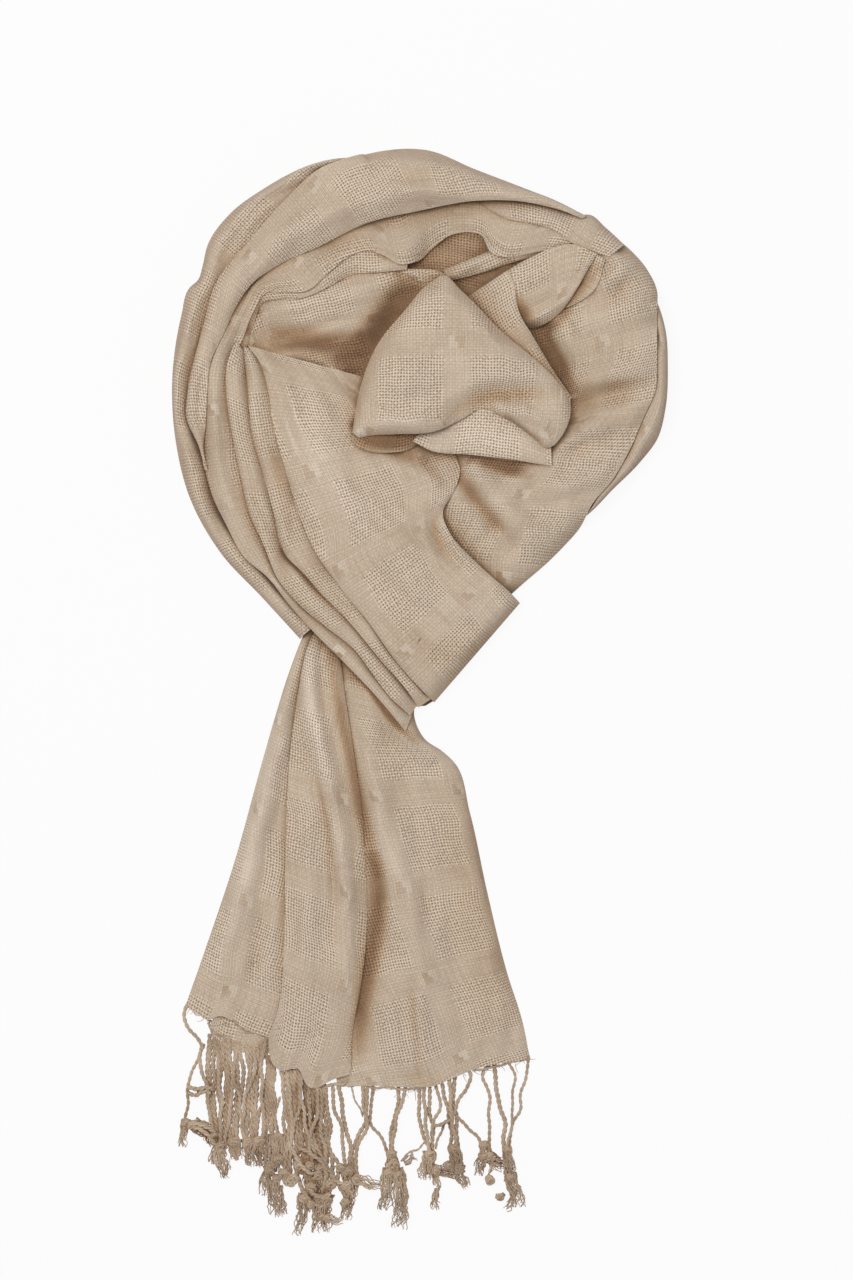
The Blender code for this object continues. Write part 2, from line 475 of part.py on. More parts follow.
def stretch_grid(row, facet=FACET, facet_across=FACET_ACROSS, rows_round=ROLL_ROWS):
    """The upper surface of a stretch as a grid of points, before it is laid on the heap."""
    along, first, second = side_rows(row, facet, rows_round)
    width = np.linalg.norm((second - first)[:, :2], axis=1)
    usual = float(np.percentile(width, USUAL))
    from_first, rolls = columns_across(row, width, usual, facet_across, rows_round)
    across = from_first / width[:, None]
    grid = first[:, None, :3] * (1 - across[..., None]) + second[:, None, :3] * across[..., None]
    if row["name"] in HEMS:
        grid[..., :2] += hem_pull(row, along, across, (first + second)[-1, :2] - (first + second)[-2, :2])
    crest = first[:, None, 3] * (1 - across) + second[:, None, 3] * across
    crest = crest + row["crown"] * np.minimum(1, width / usual)[:, None] * (1 - (2 * across - 1) ** 2)
    for high, left, right, *path in FOLDS.get(row["name"], ()):
        crest = crest + fold_rise(grid[..., 0], grid[..., 1], high, left, right, path)
    drop_first = np.maximum(crest - first[:, None, 2], 0) * (1 - roll(from_first, rolls[:, :1]))
    drop_second = np.maximum(crest - second[:, None, 2], 0) * (1 - roll(width[:, None] - from_first, rolls[:, 1:]))
    z = crest - drop_first - drop_second
    for distance, radius in ((along, row["roll_start"]), (along[-1] - along, row["roll_end"])):
        if radius:
            z = z - np.maximum(z - row["end_foot"], 0) * (1 - roll(distance[:, None], np.array(float(radius))))
    grid[..., 2] = np.maximum(z, FOOT_LEAST)
    faces_up = np.cross(np.gradient(grid, axis=1), np.gradient(grid, axis=0))[..., 2].mean() > 0
    return grid if faces_up else grid[:, ::-1]


def lay(grid, heap, wall, fine):
    """Lifts the grid until its underside clears the heap, facet by facet, and adds it to the heap."""
    for _ in range(TRIES):
        points = facet_points(underside(grid, wall), fine)
        below = heap.top[heap.cell(points)]
        move = corner_moves(np.where(below > 0, below + LAYER_GAP - points[..., 2], -1), fine)
        if move.max() <= NEAR_ENOUGH:
            break
        grid[..., 2] += move
    heap.add(facet_points(grid, 2 * fine))
    return grid


# ---------------------------------------------------------------- the hidden layers
CORE_OUTLINE = [
    (164, 235), (158, 275), (138, 303), (110, 318), (70, 338), (30, 356), (-10, 366), (-50, 360), (-100, 344),
    (-130, 322), (-141, 292), (-152, 262), (-162, 215), (-159, 170), (-148, 134), (-128, 106), (-104, 88),
    (-70, 74), (-30, 50), (14, 26), (40, 44), (58, 66), (92, 104), (118, 132), (148, 178),
]
CORE_MIDDLE = (0, 200)
CORE_RINGS = (0, 0.2, 0.4, 0.58, 0.74, 0.88, 1.0)
CORE_AROUND = 32      # facets round each ring
CORE_HIGHEST = 60     # every point starts this high, and is lowered under the stretches
CORE_GAP = 1.3        # clear height under the stretches
CORE_OPEN = 11        # its height where no stretch covers it
CORE_LEAST = 1.5      # and its least height, at the rim
CORE_NEAR = 2         # squares round a point whose ceilings it keeps under


def core_grid():
    """Rings of points from the middle to the outline, at the greatest height. The first ring is the middle itself."""
    outline = np.array(CORE_OUTLINE + CORE_OUTLINE[:1], float)
    around = smooth(lengths(outline), outline, np.linspace(0, lengths(outline)[-1], CORE_AROUND + 1))
    rings = np.array(CORE_RINGS)[:, None, None]
    flat = np.array(CORE_MIDDLE) * (1 - rings) + around[None] * rings
    return np.dstack([flat, np.full(flat.shape[:2], float(CORE_HIGHEST))])


def sink(grid, ceiling, fine):
    """Lowers the grid until every facet is under the ceiling, and keeps the middle and the ring's two ends together."""
    low = -highest_near(-ceiling.low, CORE_NEAR)
    for _ in range(TRIES):
        points = facet_points(grid, fine)
        drop = corner_moves(points[..., 2] + CORE_GAP - low[ceiling.cell(points)], fine)
        if drop.max() <= NEAR_ENOUGH:
            break
        drop[0] = drop[0].max()
        drop[:, 0] = drop[:, -1] = np.maximum(drop[:, 0], drop[:, -1])
        grid[..., 2] = np.maximum(grid[..., 2] - drop, CORE_LEAST)
    return grid


def core_solid(grid):
    """Points and faces of the closed solid under the grid: a fan round the middle, rings, a rim and a flat base."""
    middle, rings = grid[0, :1], grid[1:, :-1]
    count, around = rings.shape[:2]
    base = rings[-1] * (1, 1, 0)
    points = np.concatenate([rings.reshape(-1, 3), base, middle])
    index = np.arange(count * around).reshape(count, around)
    after = np.roll(index, -1, axis=1)
    low = np.arange(around) + count * around
    low_after = np.roll(low, -1)
    top = np.full(around, len(points) - 1)
    sides = [(index[:-1], after[1:], after[:-1]), (index[:-1], index[1:], after[1:]), (top, index[0], after[0]),
             (index[-1], low, low_after, after[-1])]
    faces = [face for side in sides for face in zip(*(corner.ravel().tolist() for corner in side))]
    return points, faces + [tuple(low[::-1].tolist())]


class Ceiling(Heap):
    """The lowest underside over each square."""

    def __init__(self):
        self.low = np.full((self.HIGH, self.WIDE), np.inf)

    def add(self, points):
        """Lowers the squares over the points to their height."""
        np.minimum.at(self.low, self.cell(points), points[..., 2])


# ---------------------------------------------------------------- objects
COLOUR = (0.62, 0.47, 0.34)
ROUGHNESS = 0.85
SHADE_STEP = 0.012    # each stretch is this much darker than the last, five in turn
CORE_SHADE = 0.8
SHARP = math.radians(40)


def fabric(name, shade):
    """A plain matt cloth, a little lighter or darker from stretch to stretch, so that each can be told apart."""
    material = bpy.data.materials.new(name)
    material.use_nodes = True
    shader = material.node_tree.nodes["Principled BSDF"]
    shader.inputs["Base Color"].default_value = (*(part * shade for part in COLOUR), 1)
    shader.inputs["Roughness"].default_value = ROUGHNESS
    return material


def add_object(name, points, faces, shade):
    """The named object, shaded smooth over its soft turns and sharp at its edges."""
    mesh = bmesh.new()
    corners = [mesh.verts.new(tuple(point)) for point in points * MM]
    for face in faces:
        mesh.faces.new([corners[i] for i in face])
    data = bpy.data.meshes.new(name)
    mesh.to_mesh(data)
    mesh.free()
    data.materials.append(fabric(name, shade))
    data.shade_smooth()
    data.set_sharp_from_angle(angle=SHARP)
    bpy.context.scene.collection.objects.link(bpy.data.objects.new(name, data))


def wall_faces(rows, columns):
    """Faces of a closed wall whose upper points come first and whose lower points follow, as triangles and quads."""
    index = np.arange(rows * columns).reshape(rows, columns)
    under = index + rows * columns
    a, b, c, d = index[:-1, :-1], index[:-1, 1:], index[1:, 1:], index[1:, :-1]
    faces = [face for corner in ((a, b, c), (a, c, d)) for face in zip(*(i.ravel().tolist() for i in corner))]
    faces += [tuple(i + rows * columns for i in reversed(face)) for face in faces]
    rim = np.concatenate([index[0, :-1], index[:-1, -1], index[-1, :0:-1], index[:0:-1, 0]])
    low = np.concatenate([under[0, :-1], under[:-1, -1], under[-1, :0:-1], under[:0:-1, 0]])
    following = np.roll(np.arange(len(rim)), -1)
    faces += [
        (int(rim[i]), int(low[i]), int(low[k]), int(rim[k])) for i, k in enumerate(following)
    ]
    return faces


def main():
    for item in list(bpy.data.objects):
        bpy.data.objects.remove(item)
    heap, ceiling = Heap(), Ceiling()
    for number, row in enumerate(STRETCHES):
        name = row["name"]
        thick = FRINGE_WALL if name.startswith("fringe") else WALL
        grid = lay(stretch_grid(row), heap, thick, FINE)
        under = underside(grid, thick)
        ceiling.add(facet_points(under, 2 * FINE))
        points = np.concatenate([grid.reshape(-1, 3), under.reshape(-1, 3)])
        add_object(name, points, wall_faces(*grid.shape[:2]), 1 - SHADE_STEP * (number % 5))
    ceiling.low[ceiling.low > CORE_HIGHEST] = CORE_OPEN
    add_object("hidden_layers", *core_solid(sink(core_grid(), ceiling, FINE)), CORE_SHADE)


main()
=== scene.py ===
# %% [markdown]
# # A stole laid down in a loose ring
# The real object is one long piece of open-weave cloth, about 0.7 by 1.9 metres, with a twisted fringe at
# both ends. It is laid flat in a ring: the cloth runs round as a bundle of soft folds, one end is heaped in
# the middle, and the other lies below, pleated, and ends in its fringe. Cloth like this could be simulated,
# but a simulation would not fall into these folds. So each stretch that shows is a thin shell worked out from
# two lines, and is laid on the heap of the stretches before it, from the lowest up.

# %% Load the packed model
import math

import bpy
import numpy as np
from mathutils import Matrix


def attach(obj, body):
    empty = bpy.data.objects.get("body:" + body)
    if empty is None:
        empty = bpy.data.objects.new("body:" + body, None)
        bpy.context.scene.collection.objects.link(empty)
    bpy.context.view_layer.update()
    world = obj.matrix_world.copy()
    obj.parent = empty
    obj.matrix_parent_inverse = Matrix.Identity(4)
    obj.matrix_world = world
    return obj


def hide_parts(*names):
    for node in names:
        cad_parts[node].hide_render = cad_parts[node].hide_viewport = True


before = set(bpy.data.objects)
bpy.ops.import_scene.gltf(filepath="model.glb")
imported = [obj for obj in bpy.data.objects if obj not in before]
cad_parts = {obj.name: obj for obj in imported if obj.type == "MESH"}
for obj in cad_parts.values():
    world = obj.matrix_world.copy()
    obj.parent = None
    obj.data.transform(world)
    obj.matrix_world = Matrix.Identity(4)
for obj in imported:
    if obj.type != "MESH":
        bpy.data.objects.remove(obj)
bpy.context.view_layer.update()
MM = 0.001

# %% [markdown]
# ## Camera
# The stole is seen from straight above, through a long lens, so that near and far folds keep the same size.
# The distance follows from what the picture takes in on the floor: the sensor's long side stands for its
# height.

# %% Camera
VIEW_HEIGHT = 896 * MM
VIEW_MIDDLE = (5.6 * MM, 35.7 * MM)
SENSOR, LENS = 36, 150


def placed(name, data):
    """An object of this name in the scene, which shows the data: a mesh, a lamp or a camera."""
    made = bpy.data.objects.new(name, data)
    bpy.context.scene.collection.objects.link(made)
    return made


camera = bpy.data.cameras.new("camera")
camera.sensor_width, camera.lens = SENSOR, LENS
camera_object = placed("camera", camera)
camera_object.location = (*VIEW_MIDDLE, VIEW_HEIGHT * LENS / SENSOR)
bpy.context.scene.camera = camera_object
print("the camera is", round(camera_object.location.z, 2), "m up")

# %% [markdown]
# ## Shader maths
# A material is a graph of nodes. Written as Python expressions it reads like the formula it is: a Wire stands
# for one socket, and sums, products and powers of wires add the Math nodes. Every other node comes from one
# method.

# %% Wires
class Wire:
    """A socket in a material's tree. Arithmetic on it adds Math nodes, and node() adds any other node."""

    def __init__(self, tree, socket=None):
        self.tree, self.socket = tree, socket

    def node(self, kind, settings=None, inputs=None, output=0):
        """Adds a node of this kind: first its settings, then the values or links of its sockets."""
        made = self.tree.nodes.new(kind)
        for name, value in (settings or {}).items():
            setattr(made, name, value)
        for key, value in (inputs or {}).items():
            if isinstance(value, Wire):
                self.tree.links.new(value.socket, made.inputs[key])
            else:
                made.inputs[key].default_value = value
        return Wire(self.tree, made.outputs[output])

    def out(self, name):
        """Another output of the same node."""
        return Wire(self.tree, self.socket.node.outputs[name])

    def math(self, operation, *values):
        return self.node("ShaderNodeMath", {"operation": operation}, dict(enumerate(values)))

    def __add__(self, other):
        return self.math("ADD", self, other)

    def __mul__(self, other):
        return self.math("MULTIPLY", self, other)

    __radd__, __rmul__ = __add__, __mul__

    def __sub__(self, other):
        return self.math("SUBTRACT", self, other)

    def __rsub__(self, other):
        return self.math("SUBTRACT", other, self)

    def size(self):
        """The value without its sign."""
        return self.math("ABSOLUTE", self)

    def wave(self, length):
        """A cosine of this wave length, from -1 to 1."""
        return self.math("COSINE", self * (2 * math.pi / length))

    def step(self, low, high):
        """0 up to low and 1 from high on, with a soft rise between; high may be the lower one, for a fall."""
        return self.node("ShaderNodeMapRange", {"interpolation_type": "SMOOTHSTEP"},
                         {"Value": self, "From Min": low, "From Max": high})

    def mix(self, blend, factor, low, high):
        """Two colours, which are inputs 6 and 7 of the Mix node and its output 2."""
        settings = {"data_type": "RGBA", "blend_type": blend}
        return self.node("ShaderNodeMix", settings, {0: factor, 6: low, 7: high}, output=2)

    def colour(self, low, high):
        """The colour low where the value is 0, and high where it is 1."""
        return self.mix("MIX", self, low, high)

    def tint(self, other):
        """The colour multiplied by another colour."""
        return self.mix("MULTIPLY", 1.0, self, other)


def emptied(owner):
    """The starting wire of a material's or world's tree of nodes, emptied."""
    owner.use_nodes = True
    owner.node_tree.nodes.clear()
    return Wire(owner.node_tree)


def new_material(name):
    """An empty material of this name and its tree's starting wire and output node."""
    material = bpy.data.materials.new(name)
    start = emptied(material)
    return material, start, start.tree.nodes.new("ShaderNodeOutputMaterial")


print("a wire has", sum(not name.startswith("_") for name in vars(Wire)), "methods")

# %% [markdown]
# ## The cloth's weave
# The cloth is a windowpane check woven in one colour. Open basket squares, full of little holes, lie between
# dense stripes that run both ways, and at each crossing of stripes a few yarns float over the others as a
# small chequer. The pattern follows the cloth, not the space around it, so it reads the piece's own UV map,
# which holds metres of cloth along and across. All the yarns are formulas of waves: a picture would blur
# close up.

# %% Weave
PERIOD = 65.0             # from one stripe's middle to the next, in millimetres of cloth
STRIPE = 19.0             # width of a dense stripe
STRIPE_FADE = 1.6         # how far its edge fades to either side
STRIPE_RAGGED = 3.0       # how far its edge strays
STRIPE_OPEN = 0.3         # how much of the basket's look the dense stripes keep
OPEN_PITCH = 2.1          # from hole to hole in a basket square
DENSE_PITCH = 1.15        # from yarn to yarn in a stripe
STRAY = 2.2               # how far the yarns stray from straight
FLOAT_LONG, FLOAT_WIDE = 5.5, 4.0     # one field of the chequer at a crossing
FLOAT_FADE = 0.3          # how far its edge fades to either side
FLOAT_SHOWS, FLOAT_WORN = 0.24, 0.68  # how strongly every chequer shows, and how much more a worn one does
# How many patches of each kind of unevenness there are in a millimetre. Slubs are long thin patches along a
# yarn.
FINE_STRAY, FINE_RAGGED, FINE_GRAIN, FINE_LOOSE, FINE_PATCH, FINE_WORN = 0.06, 0.25, 0.55, 0.42, 0.02, 0.03
SLUB_THIN, SLUB_LONG = 0.9, 0.035
# How much each of them, and each feature of the weave, adds to the yarns' lightness and to the relief.
LIGHT = {"slub": 0.65, "slub_open": 0.45, "patch": 0.7, "over": 0.30, "grain": 1.3, "open": 0.36, "rib": 0.18}
RELIEF = {"over": 0.5, "rib": 0.25, "float": 0.4}
YARN_LIGHT = (0.745, 0.618, 0.482, 1)
YARN_DARK = (0.45, 0.345, 0.248, 1)
# The holes' colour: the dark brown of shadowed cloth seen through them, a painted shade.
HOLE_SHADE = (0.235, 0.160, 0.105, 1)
SHADE_WARM = (0.80, 0.68, 0.56, 1)     # painted shade: what the colour is multiplied by halfway down a fold
SHADE_BROWN = (0.44, 0.31, 0.215, 1)   # and at the bottom
PAINTED_HIGHLIGHT = (1.22, 1.26, 1.32, 1)          # and where a single layer catches the light, a painted highlight
FLOAT_LIGHT = (0.74, 0.63, 0.51, 1)
FLOAT_DARK = (0.45, 0.31, 0.20, 1)
SHEEN = (0.95, 0.88, 0.80, 1)         # colour of the fine hairs that catch light at a flat angle
WHITE = (1, 1, 1, 1)
FRINGE_TINT = (0.86, 0.81, 0.77, 1)


def noise(start, u, v, detail=1.0):
    """Soft noise from 0 to 1 over the two values."""
    place = start.node("ShaderNodeCombineXYZ", inputs={0: u, 1: v})
    return start.node("ShaderNodeTexNoise", inputs={"Vector": place, "Scale": 1.0, "Detail": detail})


def stripe_distance(value):
    """Signed distance from the nearest stripe's middle, in millimetres."""
    share = value * (1 / PERIOD) + 0.5
    return (share.math("FRACT", share) - 0.5) * PERIOD


def painted_light_and_shade(colour, depth):
    """The colour with painted light and shade: paler where the shade is negative, browner deeper in a fold.
    """
    warm = depth.step(0.0, 0.6).colour(WHITE, SHADE_WARM)
    brown = depth.step(0.35, 1.0).colour(warm, SHADE_BROWN)
    return colour.tint((0 - depth).step(0.0, 1.0).colour(brown, PAINTED_HIGHLIGHT))


def weave_material(name):
    """Cloth: basket squares, stripes and floats, uneven yarns, painted light and shade, and a fine relief."""
    material, start, end = new_material(name)
    lengths_of_cloth = start.node("ShaderNodeUVMap", {"uv_map": "cloth"})
    cloth = start.node("ShaderNodeSeparateXYZ", inputs={0: lengths_of_cloth})
    u, v = cloth * 1000, cloth.out("Y") * 1000
    stray = noise(start, u * FINE_STRAY, v * FINE_STRAY) * STRAY
    u, v = u + stray, v + stray
    off_u, off_v = stripe_distance(u), stripe_distance(v)
    ragged = (noise(start, u * FINE_RAGGED, v * FINE_RAGGED) - 0.5) * STRIPE_RAGGED
    outside, inside = STRIPE / 2 + STRIPE_FADE, STRIPE / 2 - STRIPE_FADE
    stripe_u = (off_u.size() + ragged).step(outside, inside)
    stripe_v = (off_v.size() + ragged).step(outside, inside)
    open_part = (1 - stripe_u) * (1 - stripe_v)
    woven = open_part * (1 - STRIPE_OPEN) + STRIPE_OPEN
    grain = noise(start, u * FINE_GRAIN, v * FINE_GRAIN) - 0.5
    wave_u, wave_v = u.wave(2 * OPEN_PITCH), v.wave(2 * OPEN_PITCH)
    loose = noise(start, u * FINE_LOOSE, v * FINE_LOOSE, 2.0).step(0.28, 0.72)
    hole = ((1 - wave_u.size()) * (1 - wave_v.size())).step(0.0, 0.28) * (0.66 + loose * 0.34)
    over = wave_u * wave_v
    rib = u.wave(DENSE_PITCH) * stripe_u + v.wave(DENSE_PITCH) * stripe_v
    slub_u = noise(start, u * SLUB_THIN, v * SLUB_LONG)
    slub_v = noise(start, u * SLUB_LONG, v * SLUB_THIN)
    patch = noise(start, u * FINE_PATCH, v * FINE_PATCH)
    slubs = (slub_u - 0.5) + (slub_v - 0.5)
    light = 0.5 + slubs * (LIGHT["slub"] + open_part * LIGHT["slub_open"]) + (patch - 0.5) * LIGHT["patch"]
    light = light + woven * (over * LIGHT["over"] + grain * LIGHT["grain"]) + open_part * LIGHT["open"]
    light = light + (1 - open_part) * rib * LIGHT["rib"]
    yarn = light.step(-0.1, 1.1).colour(YARN_DARK, YARN_LIGHT)
    # A crossing shows one light and one dark field side by side, and they are shifted halfway along it.
    floats_u = off_u.size().step(FLOAT_LONG + FLOAT_FADE, FLOAT_LONG - FLOAT_FADE)
    floats_v = off_v.size().step(FLOAT_WIDE + FLOAT_FADE, FLOAT_WIDE - FLOAT_FADE)
    side = (off_u + off_v.step(-0.5, 0.5) * 2.5 - 1.2).step(-0.6, 0.6)
    worn = noise(start, u * FINE_WORN + 9.0, v * FINE_WORN).step(0.42, 0.68)
    floats = floats_u * floats_v
    yarn = (floats * (FLOAT_SHOWS + worn * FLOAT_WORN)).colour(yarn, side.colour(FLOAT_LIGHT, FLOAT_DARK))
    # Partly painted shade: the holes are the weave's own, but their dark brown stands for shadowed cloth
    # beneath.
    yarn = (hole * woven).colour(yarn, HOLE_SHADE)
    # Painted shade and highlight: browner deep in a fold and where a shade is listed, paler where a highlight
    # is.
    depth = start.node("ShaderNodeAttribute", {"attribute_name": "depth"}, output=2)
    base = painted_light_and_shade(yarn, depth)
    relief = open_part * (over * RELIEF["over"] - hole) + rib * (1 - open_part) * RELIEF["rib"]
    relief = relief + floats * RELIEF["float"]
    bump = start.node("ShaderNodeBump", inputs={"Strength": 0.55, "Distance": 0.0005, "Height": relief})
    surface = start.node("ShaderNodeBsdfPrincipled", inputs={
        "Base Color": base, "Roughness": 0.86, "Specular IOR Level": 0.22, "Sheen Weight": 0.38,
        "Sheen Roughness": 0.5, "Sheen Tint": SHEEN, "Normal": bump})
    start.tree.links.new(surface.socket, end.inputs[0])
    return material


weave = weave_material("open_weave")
print("the weave's nodes:", len(weave.node_tree.nodes))

# %% [markdown]
# ## The stole's lines
# The shape is given as the creases and edges where one stretch of cloth meets the next. Each row is
# a point of a line, in millimetres: x, y, the height of the edge itself, and the height of the shoulder
# beside it. The same lines give the solid model its shape, so the cloth lies where its solids are.

# %% Creases and edges
CREASE_LEFT = [
    (-68, 364, 21, 26), (-92, 343, 23, 28), (-120, 311, 24, 29), (-140, 286, 24, 29), (-151, 250, 22, 28),
    (-161, 206, 21, 27), (-162, 193, 20, 26), (-152, 168, 18, 24), (-144, 137, 14, 23), (-135, 118, 12, 22),
]
CREASE_SWAG = [
    (-136, 247, 23, 28), (-144, 230, 23, 28), (-147, 203, 22, 27), (-148, 185, 21, 26),
]
CREASE_THIRD = [
    (-133, 229, 21, 26), (-134, 210, 22, 27), (-130, 180, 22, 27), (-124, 150, 21, 26), (-118, 125, 19, 25),
    (-107, 100, 18, 24), (-98, 78, 17, 23), (-83, 60, 16, 22), (-65, 45, 15, 21), (-45, 29, 14, 20),
    (-30, 9, 13, 19), (-18, -6, 12, 18),
]
CREASE_FOURTH = [
    (-119, 212, 21, 26), (-116, 180, 22, 27), (-108, 150, 22, 27), (-100, 120, 20, 26), (-97, 105, 18, 24),
    (-92, 94, 14, 23), (-82, 84, 17, 23), (-68, 68, 18, 22), (-50, 50, 16, 22), (-25, 20, 15, 20),
    (-10, 3, 12, 18),
]
CREASE_FIFTH = [
    (-110, 228, 17, 22), (-105, 210, 20, 25), (-101, 185, 22, 27), (-93, 155, 22, 27), (-83, 122, 20, 26),
    (-72, 97, 19, 25), (-55, 73, 18, 24), (-35, 48, 17, 23), (-15, 20, 16, 22),
]
CREASE_RIM = [
    (166, 250, 23, 28), (166, 230, 24, 28), (165, 210, 24, 28), (156.5, 190, 23, 27), (148, 170, 22, 26),
    (135, 147, 19, 24), (121, 130, 13, 20),
]

